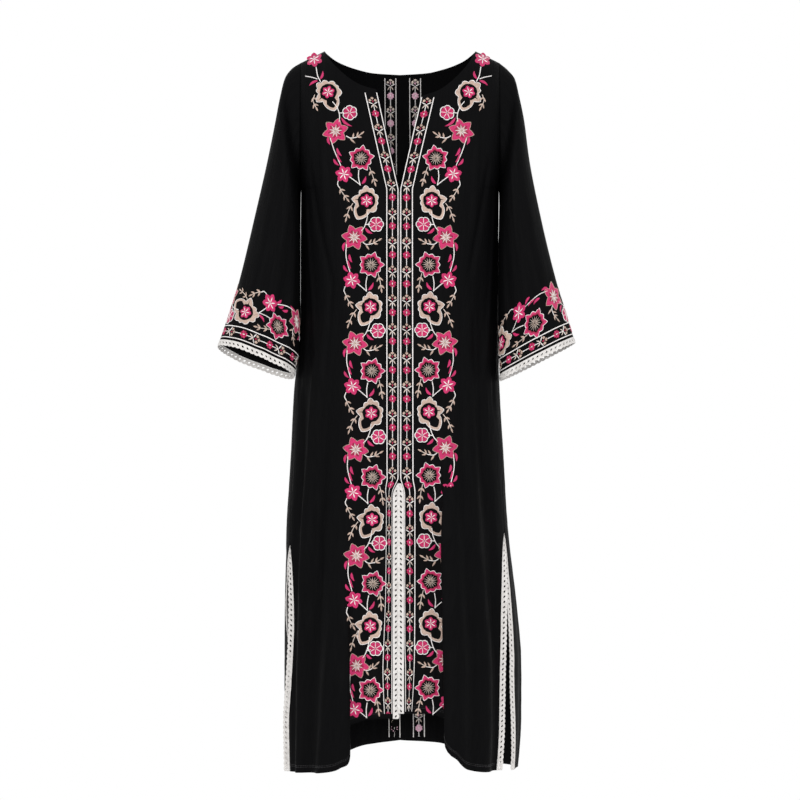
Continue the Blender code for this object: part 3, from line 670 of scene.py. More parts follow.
# Sleeves: loose three-quarter sleeves set into the dropped armholes and widening to the cuff, with
# long soft folds that start below the shoulder.
Ring = namedtuple("Ring", "along out_x out_z in_x in_z depth forward tilt")
SLEEVE_RINGS = {
    -1: [
        Ring(0.00, 0.1780, -0.0205, 0.1780, -0.250, 0.055, 0.000, 0.00),
        Ring(0.08, 0.1935, -0.0305, 0.1783, -0.262, 0.055, 0.006, 0.00),
        Ring(0.16, 0.2065, -0.0490, 0.1783, -0.276, 0.056, 0.014, 0.00),
        Ring(0.28, 0.2145, -0.0850, 0.1780, -0.300, 0.057, 0.026, 0.00),
        Ring(0.40, 0.2223, -0.1287, 0.1778, -0.335, 0.058, 0.032, 0.02),
        Ring(0.55, 0.2358, -0.1971, 0.1777, -0.380, 0.058, 0.035, 0.06),
        Ring(0.70, 0.2590, -0.3000, 0.1777, -0.440, 0.057, 0.037, 0.12),
        Ring(0.85, 0.2889, -0.4239, 0.1783, -0.508, 0.055, 0.040, 0.18),
        Ring(0.93, 0.3055, -0.4760, 0.1803, -0.542, 0.054, 0.042, 0.21),
        Ring(1.00, 0.3213, -0.5229, 0.1865, -0.575, 0.053, 0.043, 0.24),
    ],
    1: [
        Ring(0.00, 0.1780, -0.0205, 0.1780, -0.250, 0.055, 0.000, 0.00),
        Ring(0.08, 0.1940, -0.0340, 0.1783, -0.262, 0.055, 0.006, 0.00),
        Ring(0.16, 0.2061, -0.0504, 0.1782, -0.276, 0.056, 0.014, 0.00),
        Ring(0.28, 0.2135, -0.0850, 0.1772, -0.300, 0.057, 0.026, 0.00),
        Ring(0.40, 0.2218, -0.1287, 0.1762, -0.335, 0.058, 0.032, 0.02),
        Ring(0.55, 0.2306, -0.1970, 0.1756, -0.380, 0.058, 0.035, 0.06),
        Ring(0.70, 0.2517, -0.3040, 0.1752, -0.440, 0.057, 0.037, 0.09),
        Ring(0.85, 0.2803, -0.4210, 0.1752, -0.509, 0.055, 0.040, 0.09),
        Ring(0.93, 0.2954, -0.4700, 0.1756, -0.547, 0.054, 0.042, 0.08),
        Ring(1.00, 0.3090, -0.5150, 0.1776, -0.582, 0.053, 0.043, 0.075),
    ],
}
SLEEVE_BLEND = 0.35
SLEEVE_FULLNESS = 0.9
SLEEVE_LENGTH = 0.45
SLEEVE_CRINKLE_PER_DEGREE = 0.0011
SLEEVE_CALM = 0.15
SLEEVE_COLUMNS = 112
SLEEVE_ROWS = 118
SleeveFold = namedtuple("SleeveFold", "side around half_width height start full")
SLEEVE_FOLDS = [
    SleeveFold(-1, 62.0, 14.0, 0.0045, 0.30, 0.80),
    SleeveFold(-1, 118.0, 13.0, -0.0055, 0.35, 0.85),
    SleeveFold(-1, 215.0, 15.0, 0.0050, 0.30, 0.85),
    SleeveFold(-1, 265.0, 14.0, -0.0045, 0.40, 0.90),
    SleeveFold(1, 55.0, 14.0, 0.0045, 0.35, 0.80),
    SleeveFold(1, 128.0, 12.0, -0.0060, 0.30, 0.85),
    SleeveFold(1, 228.0, 15.0, 0.0050, 0.35, 0.85),
    SleeveFold(1, 280.0, 14.0, -0.0045, 0.40, 0.90),
    SleeveFold(-1, 90.0, 6.0, -0.0022, 0.20, 0.60),
    SleeveFold(-1, 140.0, 6.0, 0.0022, 0.15, 0.55),
    SleeveFold(-1, 240.0, 7.0, -0.0022, 0.25, 0.70),
    SleeveFold(-1, 300.0, 7.0, 0.0020, 0.25, 0.70),
    SleeveFold(1, 95.0, 6.0, 0.0022, 0.20, 0.60),
    SleeveFold(1, 150.0, 6.0, -0.0020, 0.20, 0.60),
    SleeveFold(1, 250.0, 7.0, 0.0022, 0.25, 0.70),
    SleeveFold(1, 305.0, 7.0, -0.0020, 0.25, 0.70),
]


def sleeve_point(side, around, along):
    """Points of a sleeve's outer face, by degrees round from its outer line through the front."""
    around, along = np.broadcast_arrays(np.asarray(around, float), np.asarray(along, float))
    rows = SLEEVE_RINGS[side]
    knots = column(rows, "along")
    value = {}
    for name in Ring._fields[1:]:
        value[name] = smooth(knots, column(rows, name), along)
    turn = np.radians(around)
    share = (1 + np.cos(turn)) / 2
    x = value["in_x"] + (value["out_x"] - value["in_x"]) * share
    z = value["in_z"] + (value["out_z"] - value["in_z"]) * share
    root_z = UNDERARM_Z + (SHOULDER_END_Z - UNDERARM_Z) * share
    sine = np.sin(turn)
    root_y = np.where(sine > 0, -armhole_depth(root_z, "front"), armhole_depth(root_z, "back"))
    root_y = root_y * (np.abs(sine) > 1e-6)
    swing = np.abs(sine) ** SLEEVE_FULLNESS
    relief = CRINKLE_HEIGHT * crinkle(around * SLEEVE_CRINKLE_PER_DEGREE, along * SLEEVE_LENGTH)
    relief = relief * ease(along / SLEEVE_CALM)
    for fold in SLEEVE_FOLDS:
        if fold.side == side:
            grow = ease((along - fold.start) / (fold.full - fold.start))
            offset = (around % 360 - fold.around) / fold.half_width
            relief = relief + fold.height * grow * np.exp(-(offset**2))
    tube_y = -(value["depth"] + relief) * np.sign(sine) * swing - value["forward"]
    blend = ease(along / SLEEVE_BLEND)
    y = root_y * (1 - blend) + tube_y * blend
    z = z - value["tilt"] * (y + value["forward"])
    return np.stack([side * (x + ARMHOLE_GAP / 2), y, z], axis=-1)


for side, label in SIDES:
    around = np.linspace(0, 360, SLEEVE_COLUMNS, endpoint=False)[None, :]
    along = np.linspace(0, 1, SLEEVE_ROWS)[:, None]
    sleeve = cloth_piece("sleeve_" + label + "_cloth", sleeve_point(side, around, along),
                         side > 0, True, CLOTH_WALL, CLOTH)
    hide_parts("sleeve_" + label)

# Lace round the cuffs: a narrow cotton crochet strip, straight where it is sewn on and scalloped
# outside, with one slanted eyelet in each scallop; it carries on from the end of the sleeve.
LACE_WIDTH = 0.0112
LACE_PITCH = 0.0092
LACE_WALL = 0.0010
LACE_RIM = 0.00055
EYELET_ALONG = 0.00245
EYELET_ACROSS = 0.00135
EYELET_SLANT = 0.55
EYELET_MIDDLE = (0.5, 0.47)
EYELET_RIM = 1.35
SCALLOP = 0.13
RIM_HEIGHTS = (0.0, 1.0, -0.55, 0.3)
SHARP_DEGREES = 55
SLEEVE_STEPS = 14
CUFF_LACE_POINTS = 180
CUT_SLACK = 0.001
JOIN_WITHIN = 0.00003


def strip_tree():
    """Geometry nodes that repeat a flat unit along the strip between two guide curves."""
    tree = bpy.data.node_groups.new("repeat_along_strip", "GeometryNodeTree")
    for name, kind in (("Unit", "NodeSocketGeometry"), ("Inner guide", "NodeSocketObject"),
                       ("Outer guide", "NodeSocketObject"), ("Length in units", "NodeSocketFloat"),
                       ("Lift", "NodeSocketFloat"), ("Finish", "NodeSocketMaterial")):
        tree.interface.new_socket(name=name, in_out="INPUT", socket_type=kind)
    tree.interface.new_socket(name="Result", in_out="OUTPUT", socket_type="NodeSocketGeometry")
    first = Value(tree, None)
    entry = tree.nodes.new("NodeGroupInput")
    taken = {socket.name: Value(tree, socket) for socket in entry.outputs if socket.name}
    length = taken["Length in units"]
    whole = first.math("CEIL", length)
    inputs = {"Count": whole, "Offset": (1.0, 0.0, 0.0)}
    places = first.node("GeometryNodeMeshLine", {"mode": "OFFSET"}, inputs)
    inputs = {"Points": places, "Instance": taken["Unit"]}
    copies = first.node("GeometryNodeInstanceOnPoints", None, inputs)
    real = first.node("GeometryNodeRealizeInstances", None, {"Geometry": copies})
    position = first.node("GeometryNodeInputPosition")
    x, y, z = (first.node("ShaderNodeSeparateXYZ", None, {0: position}, i) for i in range(3))
    inputs = {0: first.math("ABSOLUTE", x - length * 0.5), 1: length * 0.5 + CUT_SLACK}
    beyond = first.node("FunctionNodeCompare", {"data_type": "FLOAT", "operation": "GREATER_THAN"}, inputs)
    inputs = {"Geometry": real, "Selection": beyond}
    kept = first.node("GeometryNodeDeleteGeometry", {"domain": "POINT"}, inputs)
    share = first.math("DIVIDE", x, length)
    edges = []
    for name in ("Inner guide", "Outer guide"):
        guide = first.node("GeometryNodeObjectInfo", None, {"Object": taken[name]}, "Geometry")
        inputs = {"Curves": guide, "Factor": share}
        edges.append(first.node("GeometryNodeSampleCurve", {"mode": "FACTOR"}, inputs, "Position"))
    forward = first.node("GeometryNodeSampleCurve", {"mode": "FACTOR"}, inputs, "Tangent")

    def vector(operation, inputs):
        return first.node("ShaderNodeVectorMath", {"operation": operation}, inputs)

    across = vector("SUBTRACT", {0: edges[1], 1: edges[0]})
    upright = vector("NORMALIZE", {0: vector("CROSS_PRODUCT", {0: forward, 1: across})})
    flat = vector("ADD", {0: edges[0], 1: vector("SCALE", {0: across, "Scale": y})})
    raised = vector("SCALE", {0: upright, "Scale": z * taken["Lift"]})
    inputs = {"Geometry": kept, "Position": vector("ADD", {0: flat, 1: raised})}
    moved = first.node("GeometryNodeSetPosition", None, inputs)
    joined = first.node("GeometryNodeMergeByDistance", None, {"Geometry": moved, "Distance": JOIN_WITHIN})
    done = first.node("GeometryNodeSetMaterial", None, {"Geometry": joined, "Material": taken["Finish"]})
    leave = tree.nodes.new("NodeGroupOutput")
    tree.links.new(done.socket, leave.inputs[0])
    return tree


STRIP = strip_tree()


def guide_curve(points, closed):
    curve = bpy.data.curves.new("guide", "CURVE")
    curve.dimensions = "3D"
    spline = curve.splines.new("POLY")
    spline.points.add(len(points) - 1)
    spline.points.foreach_set("co", np.c_[points, np.ones(len(points))].ravel())
    spline.use_cyclic_u = closed
    guide = bpy.data.objects.new("guide", curve)
    bpy.context.scene.collection.objects.link(guide)
    return guide


def along_strip(name, unit, inner, outer, length, lift, finish, closed=False):
    """A plain mesh of the unit repeated between two rows of points."""
    piece = bpy.data.objects.new(name, unit)
    bpy.context.scene.collection.objects.link(piece)
    guides = [guide_curve(inner, closed), guide_curve(outer, closed)]
    modifier = piece.modifiers.new("repeat", "NODES")
    modifier.node_group = STRIP
    given = {"Inner guide": guides[0], "Outer guide": guides[1], "Length in units": float(length),
             "Lift": float(lift), "Finish": finish}
    for item in STRIP.interface.items_tree:
        if item.in_out == "INPUT" and item.name in given:
            modifier[item.identifier] = given[item.name]
    graph = bpy.context.evaluated_depsgraph_get()
    mesh = bpy.data.meshes.new_from_object(
        piece.evaluated_get(graph), preserve_all_data_layers=True, depsgraph=graph)
    piece.modifiers.clear()
    piece.data = mesh
    mesh.name = name
    for guide in guides:
        bpy.data.objects.remove(guide)
    return piece


def run_length(points):
    return float(np.linalg.norm(np.diff(points, axis=0), axis=1).sum())


def lace_unit():
    """One scallop of lace with its eyelet, one unit long and wide, its thickness in metres."""
    steps = (0.0, 0.25, 0.5, 0.75, 1.0)
    brim = [(0.0, y) for y in steps[1:-1]]
    brim += [(x, 1 - SCALLOP + SCALLOP * math.sin(math.pi * x)) for x in steps]
    brim += [(1.0, y) for y in steps[-2:0:-1]]
    brim += [(x, 0.0) for x in reversed(steps)]
    brim = np.array(brim)
    middle = np.array(EYELET_MIDDLE)
    real = (brim - middle) * (LACE_PITCH, LACE_WIDTH)
    turn = np.arctan2(real[:, 1], real[:, 0])
    rings = []
    for grow in (1.0, EYELET_RIM):
        own = turn - EYELET_SLANT
        oval = np.stack([EYELET_ALONG * grow * np.cos(own), EYELET_ACROSS * grow * np.sin(own)], axis=1)
        slant = np.array([[math.cos(EYELET_SLANT), math.sin(EYELET_SLANT)],
                          [-math.sin(EYELET_SLANT), math.cos(EYELET_SLANT)]])
        rings.append(oval @ slant / (LACE_PITCH, LACE_WIDTH) + middle)
    rings.append(0.5 * rings[-1] + 0.5 * brim)
    rings.append(brim)
    count = len(brim)
    points = []
    for half in (1, -1):
        for ring, height in zip(rings, RIM_HEIGHTS):
            level = half * (LACE_WALL / 2 + height * LACE_RIM)
            points += [(x, y, level) for x, y in ring]
    faces = []
    under = count * len(rings)
    for ring in range(len(rings) - 1):
        for i in range(count):
            a = ring * count + i
            b = ring * count + (i + 1) % count
            faces.append((a, b, b + count, a + count))
            faces.append((a + under, a + count + under, b + count + under, b + under))
    for i in range(count):
        a = i
        b = (i + 1) % count
        faces.append((b, a, a + under, b + under))
        if brim[a][0] != brim[b][0]:
            a += under - count
            b += under - count
            faces.append((a, b, b + under, a + under))
    mesh = bpy.data.meshes.new("lace_unit")
    mesh.from_pydata(points, [], faces)
    mesh.shade_smooth()
    mesh.set_sharp_from_angle(angle=math.radians(SHARP_DEGREES))
    return mesh


def lace_cotton(name):
    """Off-white cotton cord, looped and a little uneven."""
    material, shader, first = new_finish(name, Specular_IOR_Level=0.25, Sheen_Weight=0.2, Sheen_Roughness=0.5)
    place = first.node("ShaderNodeTexCoord", None, None, "Object")
    loops = first.node("ShaderNodeTexVoronoi", {"feature": "F1"}, {"Vector": place, "Scale": 900.0}, 0)
    tone = first.node("ShaderNodeTexNoise", None, {"Vector": place, "Scale": 130.0, "Detail": 2.0})
    pale = tone * 0.7 + (1.0 - loops) * 0.3
    feed(shader, "Base Color", pale.blend(linear(176, 170, 165), linear(240, 238, 236)))
    feed(shader, "Roughness", tone * 0.2 + 0.65)
    bump = first.node("ShaderNodeBump", None, {"Height": loops, "Strength": 0.9, "Distance": 0.0006})
    feed(shader, "Normal", bump)
    return material


LACE = lace_cotton("cotton_lace")


def lace_piece(name, node, inner, outer, closed=False):
    """A lace strip between two rows of points, its cut ends closed."""
    length = run_length(np.concatenate([outer, outer[:1]]) if closed else outer)
    piece = along_strip(name, lace_unit(), inner, outer, round(length / LACE_PITCH), 1.0, LACE, closed)
    shell = bmesh.new()
    shell.from_mesh(piece.data)
    bmesh.ops.holes_fill(shell, edges=[edge for edge in shell.edges if edge.is_boundary], sides=0)
    shell.to_mesh(piece.data)
    shell.free()
    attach(piece, "root")
    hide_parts(node)


for side, label in SIDES:
    around = np.linspace(0, 360, CUFF_LACE_POINTS, endpoint=False)
    before = sleeve_point(side, around, 1 - 1 / SLEEVE_STEPS)
    end = sleeve_point(side, around, 1.0)
    way = end - before
    way /= np.linalg.norm(way, axis=1, keepdims=True)
    seam_line = end + way * SEAM_GAP
    lace_piece("cuff_lace_" + label, "lace_cuff_" + label, seam_line, seam_line + way * LACE_WIDTH, True)

# Lace down both edges of the front hem slit and of the side slits: the same strip, sewn to the cut
# edge; at the front the right strip lies over the left one.
LACE_NODE_WALL = 0.0012
FRONT_LACE_SHARE = 0.8
SIDE_LACE_SHARE = 0.42
FRONT_LACE_TURN = {-1: 2.0, 1: 1.0}
BACK_LACE_TURN = {-1: 0.0, 1: -0.55}
BELOW_SLIT_TOP = 0.012
LACE_REACH_IN = 4


def lace_strip(edge, inner, opening, share, turn, push):
    """Two rows of points outwards from a panel's edge, the first one just clear of it."""
    tangent = edge - inner
    tangent[:, 2] = 0
    tangent /= np.linalg.norm(tangent, axis=1, keepdims=True)
    way = tangent + np.array([turn, 0, 0])
    way /= np.linalg.norm(way, axis=1, keepdims=True)
    lean = np.abs(tangent[:, 0] * way[:, 1] - tangent[:, 1] * way[:, 0])
    clear = SEAM_GAP + LACE_NODE_WALL * lean
    begin = edge + tangent * clear[:, None] + np.array([0, push, 0])
    width = np.clip(share * opening - clear, SEAM_GAP, LACE_WIDTH)
    return begin, begin + way * width[:, None]


for side, label in SIDES:
    grid = front_grids[side]
    rows = grid[:, 0, 2] < FRONT_SLIT_TOP - BELOW_SLIT_TOP / 2
    z = grid[rows, 0, 2]
    opening = inner_edge(-1, z) + inner_edge(1, z)
    push = -side * (LACE_NODE_WALL + SEAM_GAP) / 2
    inner, outer = lace_strip(grid[rows, 0], grid[rows, LACE_REACH_IN], opening, FRONT_LACE_SHARE, 0.0, push)
    lace_piece("front_slit_lace_" + label, "lace_front_slit_" + label, inner, outer)
    for panel, own, last in (("front", grid, -1), ("back", back_grid, -1 if side > 0 else 0)):
        rows = own[:, last, 2] < SIDE_SLIT_TOP[side] - BELOW_SLIT_TOP / 2
        edge = own[rows, last]
        near = own[rows, LACE_REACH_IN if last == 0 else -1 - LACE_REACH_IN]
        other = "back" if panel == "front" else "front"
        far = body_point(side, slit_edge(other, side, edge[:, 2]), edge[:, 2], other)
        opening = np.linalg.norm(far - edge, axis=1)
        turn = side * (FRONT_LACE_TURN[side] if panel == "front" else BACK_LACE_TURN[side])
        inner, outer = lace_strip(edge, near, opening, SIDE_LACE_SHARE, turn, 0.0)
        lace_piece("side_" + panel + "_lace_" + label, "lace_side_" + panel + "_" + label, inner, outer)

# Embroidered vine on each front: satin stitch in rayon thread, worked through the cloth from the
# shoulder to the hem, one repeat of five flowers after the other, the right front mirrored.
VINE_TOP_STAR_Z = -0.1536
VINE_STAR_X = 0.0805
VINE_PERIOD = 0.1870
VINE_DRIFT = -0.0013
OUTLINE = 0.0016
STEM = 0.0017
THREAD_PITCH = 0.00042
PATCH_WIDTH = 4
PATCH_SUNK = 0.0001
STEM_LEVEL = 0.00018
STEM_CROWN = 0.00035
LEAF_LEVEL = 0.0002
LEAF_CROWN = 0.0004
LEAF_BEND = 0.12
TONE_FROM = 0.90
TONE_TO = 1.06
THREADS = {
    "pink": linear(196, 34, 98),
    "rose": linear(154, 20, 62),
    "white": linear(244, 240, 237),
    "beige": linear(190, 165, 150),
    "pale": linear(232, 184, 204),
    "cream": linear(220, 204, 192),
    # painted highlight of the pressed centre-front seam, not a thread colour
    "grey": linear(122, 118, 118),
    "ink": linear(46, 45, 47),
}


def run_along(points):
    """Distance run at each of a row of points."""
    return np.concatenate([[0], np.cumsum(np.linalg.norm(np.diff(points, axis=0), axis=1))])


class Embroidery:
    """Satin-stitch patches drawn flat, in metres, then laid on the cloth."""

    def __init__(self, seed):
        self.flat = []
        self.lift = []
        self.colour = []
        self.thread = []
        self.faces = []
        self.count = 0
        self.chance = np.random.default_rng(seed)

    def patch(self, grid, colour, base, crown):
        """A grid of flat points, long way first, highest along its middle and sunk at its edges."""
        steps, width = grid.shape[:2]
        across = np.linspace(-1, 1, width)
        lift = base + crown * (1 - across**2)
        lift[[0, -1]] = -PATCH_SUNK
        tone = np.array(THREADS[colour][:3]) * self.chance.uniform(TONE_FROM, TONE_TO)
        middle = grid[:, width // 2]
        along = run_along(middle)
        side = np.linalg.norm(grid - grid[:, :1], axis=-1)
        half = steps // 2
        spread = grid[half, -1] - grid[half, 0]
        ahead = middle[min(half + 1, steps - 1)] - middle[max(half - 1, 0)]
        turned = spread[0] * ahead[1] - spread[1] * ahead[0] < 0
        row = np.arange(steps - 1)[:, None] * width
        col = np.arange(width - 1)[None, :]
        first = (row + col + self.count).ravel()
        faces = np.stack([first, first + 1, first + width + 1, first + width], axis=1)
        self.faces.append(faces[:, ::-1] if turned else faces)
        self.flat.append(grid.reshape(-1, 2))
        self.lift.append(np.broadcast_to(lift, (steps, width)).ravel())
        self.colour.append(np.broadcast_to(tone, (steps * width, 3)))
        both = np.stack([np.broadcast_to(along[:, None], side.shape), side], axis=-1)
        self.thread.append(both.reshape(-1, 2))
        self.count += steps * width

    def joined(self):
        return (np.concatenate(self.flat), np.concatenate(self.lift), np.concatenate(self.colour),
                np.concatenate(self.thread), np.concatenate(self.faces))


def spread_path(path, steps):
    """A smooth run of points through a few given ones."""
    path = np.asarray(path, float)
    if len(path) == 2:
        return path[0] + (path[1] - path[0]) * np.linspace(0, 1, steps + 1)[:, None]
    ends = np.concatenate([2 * path[:1] - path[1:2], path, 2 * path[-1:] - path[-2:-1]])
    out = []
    t = np.linspace(0, 1, steps, endpoint=False)[:, None]
    for p0, p1, p2, p3 in zip(ends, ends[1:], ends[2:], ends[3:]):
        out.append(0.5 * (2 * p1 + (p2 - p0) * t + (2 * p0 - 5 * p1 + 4 * p2 - p3) * t**2
                          + (3 * p1 - p0 - 3 * p2 + p3) * t**3))
    return np.concatenate(out + [path[-1:]])


def heading(turn):
    """Direction at a turn from the first axis."""
    return np.array([math.cos(turn), math.sin(turn)])


def lobes(theta, count, depth, power, first=0.0):
    """Outline of a flower as a share of its radius: count lobes with notches of a depth between."""
    phase = ((theta - first) * count / (2 * math.pi) + 0.5) % 1
    return 1 - depth * (np.abs(phase - 0.5) * 2) ** power


def rim(edge, share=1.0, more=0.0):
    """A line that follows a flower's edge at a share of its radius and so much more."""
    return lambda theta: edge(theta) * share + more


class Needle:
    """Draws motifs at a place, turn and scale on an embroidery."""

    def __init__(self, work, centre, turn=0.0, mirrored=False):
        self.work = work
        self.centre = np.asarray(centre, float)
        self.turn = turn
        self.mirrored = mirrored

    def place(self, points):
        points = np.asarray(points, float)
        if self.mirrored:
            points = points[..., ::-1]
        cosine = math.cos(self.turn)
        sine = math.sin(self.turn)
        x = points[..., 0] * cosine - points[..., 1] * sine
        y = points[..., 0] * sine + points[..., 1] * cosine
        return np.stack([x, y], axis=-1) + self.centre

    def strip(self, middle, half, colour, base, crown, width=PATCH_WIDTH):
        way = np.gradient(middle, axis=0)
        way /= np.maximum(np.linalg.norm(way, axis=1, keepdims=True), 1e-9)
        side = np.stack([-way[:, 1], way[:, 0]], axis=1)
        across = np.linspace(-1, 1, width)[None, :, None]
        grid = middle[:, None, :] + side[:, None, :] * across * np.reshape(half, (-1, 1, 1))
        self.work.patch(self.place(grid), colour, base, crown)

    def stem(self, path, colour="white", width=STEM, steps=5):
        middle = spread_path(path, steps)
        half = np.full(len(middle), width / 2)
        self.strip(middle, half, colour, STEM_LEVEL, STEM_CROWN)

    def leaf(self, base, tip, width, colour, bend=0.0, level=LEAF_LEVEL, blunt=0.8, steps=6):
        base = np.asarray(base, float)
        tip = np.asarray(tip, float)
        t = np.linspace(0, 1, steps + 1)
        way = tip - base
        side = np.array([-way[1], way[0]])
        middle = base + way * t[:, None] + side * bend * np.sin(math.pi * t)[:, None]
        half = width / 2 * np.maximum(np.sin(math.pi * np.clip(t, 0.02, 0.98) ** blunt), 0.08) ** 0.75
        self.strip(middle, half, colour, level, LEAF_CROWN)

    def ring(self, inner, outer, colour, around, level=0.0001, crown=0.0003):
        """A ring between two lines round the centre, each a plain radius or one for every angle."""
        theta = np.linspace(0, 2 * math.pi, around + 1)
        radius_in = inner(theta) if callable(inner) else np.full_like(theta, inner)
        radius_out = outer(theta) if callable(outer) else np.full_like(theta, outer)
        share = np.linspace(0, 1, PATCH_WIDTH)
        radius = radius_in[:, None] + (radius_out - radius_in)[:, None] * share
        grid = np.stack([radius * np.cos(theta)[:, None], radius * np.sin(theta)[:, None]], axis=-1)
        self.work.patch(self.place(grid), colour, level, crown)

    def rays(self, count, inside, outside, width, colour, level, first=0.0):
        for i in range(count):
            way = heading(first + 2 * math.pi * i / count)
            self.leaf(way * inside, way * outside, width, colour, level=level, steps=3)


def star_flower(needle, size):
    """Six pointed pink petals with a beige edge and a burst of white rays."""
    def edge(theta):
        return size * lobes(theta, 6, 0.38, 0.92, 0.15)
    needle.ring(rim(edge, 0.52), rim(edge, more=-OUTLINE * 0.4), "pink", 72)
    needle.ring(0.0002, rim(edge, 0.60), "rose", 36, level=0.00012, crown=0.0002)
    needle.ring(rim(edge, more=-OUTLINE * 0.8), edge, "beige", 72, level=0.0003)
    needle.rays(9, 0.06 * size, 0.47 * size, 0.0019, "white", 0.0005)
    needle.rays(9, 0.08 * size, 0.33 * size, 0.0014, "cream", 0.0005, 0.35)
    needle.ring(0.0001, 0.09 * size, "beige", 12, level=0.0008, crown=0.0002)


def round_flower(needle, size):
    """A small flower of six pink wedges with white spokes and a white scalloped edge."""
    def edge(theta):
        return size * lobes(theta, 6, 0.14, 2.2)
    needle.ring(0.0002, rim(edge, more=-OUTLINE), "pink", 42)
    needle.ring(rim(edge, more=-OUTLINE * 1.1), edge, "white", 48, level=0.0003)
    needle.rays(6, 0.04 * size, 0.86 * size, 0.0016, "white", 0.0006, math.pi / 6)
    needle.rays(6, 0.30 * size, 0.72 * size, 0.0012, "rose", 0.0005)


def jagged_flower(needle, size):
    """A pink ring with a toothed white edge round a black gap and a brush of beige stamens."""
    def edge(theta):
        return size * (lobes(theta, 10, 0.25, 0.95) * lobes(theta, 5, 0.19, 1.3, 0.63) + 0.10)
    needle.ring(rim(edge, 0.42, 0.22 * size), rim(edge, more=-OUTLINE * 0.4), "pink", 80)
    needle.ring(rim(edge, 0.42, 0.20 * size), rim(edge, 0.60, 0.16 * size), "rose", 45, level=0.0003)
    needle.ring(rim(edge, more=-OUTLINE * 0.9), edge, "white", 80, level=0.0003)
    needle.rays(15, 0.05 * size, 0.53 * size, 0.0010, "cream", 0.0002, 0.2)
    needle.rays(7, 0.05 * size, 0.38 * size, 0.0012, "beige", 0.0004, 0.35)


def white_star_flower(needle, size):
    """Six broad pink petals, each with a thick white ray."""
    for i in range(6):
        way = heading(2 * math.pi * (i + 0.25) / 6) * size
        needle.leaf(way * 0.02, way, 0.74 * size, "pink", blunt=1.45, steps=7)
        needle.leaf(way * 0.02, way * 0.66, 0.19 * size, "white", level=0.0007, blunt=1.2, steps=4)


BIG_LOBES = ((8, 1.06, 30, 1.0), (58, 0.86, 26, 1.6), (86, 1.04, 24, 1.5), (116, 0.92, 26, 1.8),
             (160, 0.84, 34, 1.7), (196, 0.80, 30, 1.8), (232, 0.94, 36, 1.6), (298, 1.42, 37, 1.15))
BIG_HEART = 0.0150


def big_flower(needle, size):
    """A large beige lily with a white edge and one long petal, round a small pink flower."""
    def edge(theta):
        degrees = np.degrees(theta) % 360
        best = np.full_like(theta, 0.66)
        for at, reach, half, power in BIG_LOBES:
            away = np.abs((degrees - at + 180) % 360 - 180) / half
            best = np.maximum(best, reach * (1 - 0.36 * np.minimum(away, 1.6) ** power))
        return size * best

    def heart(theta):
        long_petal = edge(theta) > size * 1.05
        return np.where(long_petal, edge(theta) - 0.0066, np.minimum(edge(theta) - 0.0040, BIG_HEART))

    needle.ring(heart, rim(edge, more=-OUTLINE * 0.5), "beige", 96)
    needle.ring(rim(edge, more=-OUTLINE * 0.9), edge, "white", 96, level=0.0003)
    for i in range(6):
        way = heading(2 * math.pi * (i + 0.5) / 6) * size
        needle.leaf(way * 0.02, way * 0.44, 0.33 * size, "pink", blunt=1.5)
        needle.leaf(way * 0.02, way * 0.34, 0.10 * size, "white", level=0.0006, blunt=1.2, steps=4)


def sprig(needle, path, pairs=2):
    """A thin beige stem with pairs of leaves and one at its tip."""
    middle = spread_path(path, 8)
    needle.stem(path, "cream", 0.0014, 5)
    gap = len(middle) - 1
    for i in range(pairs):
        at = middle[int(gap * (0.25 + 0.50 * i / max(pairs - 1, 1)))]
        way = middle[-1] - at
        way = way / np.linalg.norm(way)
        side = np.array([-way[1], way[0]])
        for flip in (-1, 1):
            begin = at + side * flip * 0.0006
            needle.leaf(begin, begin + way * 0.0066 + side * flip * 0.0050, 0.0033, "beige", steps=5)
    way = middle[-1] - middle[-3]
    way = way / np.linalg.norm(way)
    needle.leaf(middle[-1] - way * 0.001, middle[-1] + way * 0.0078, 0.0034, "beige", steps=5)


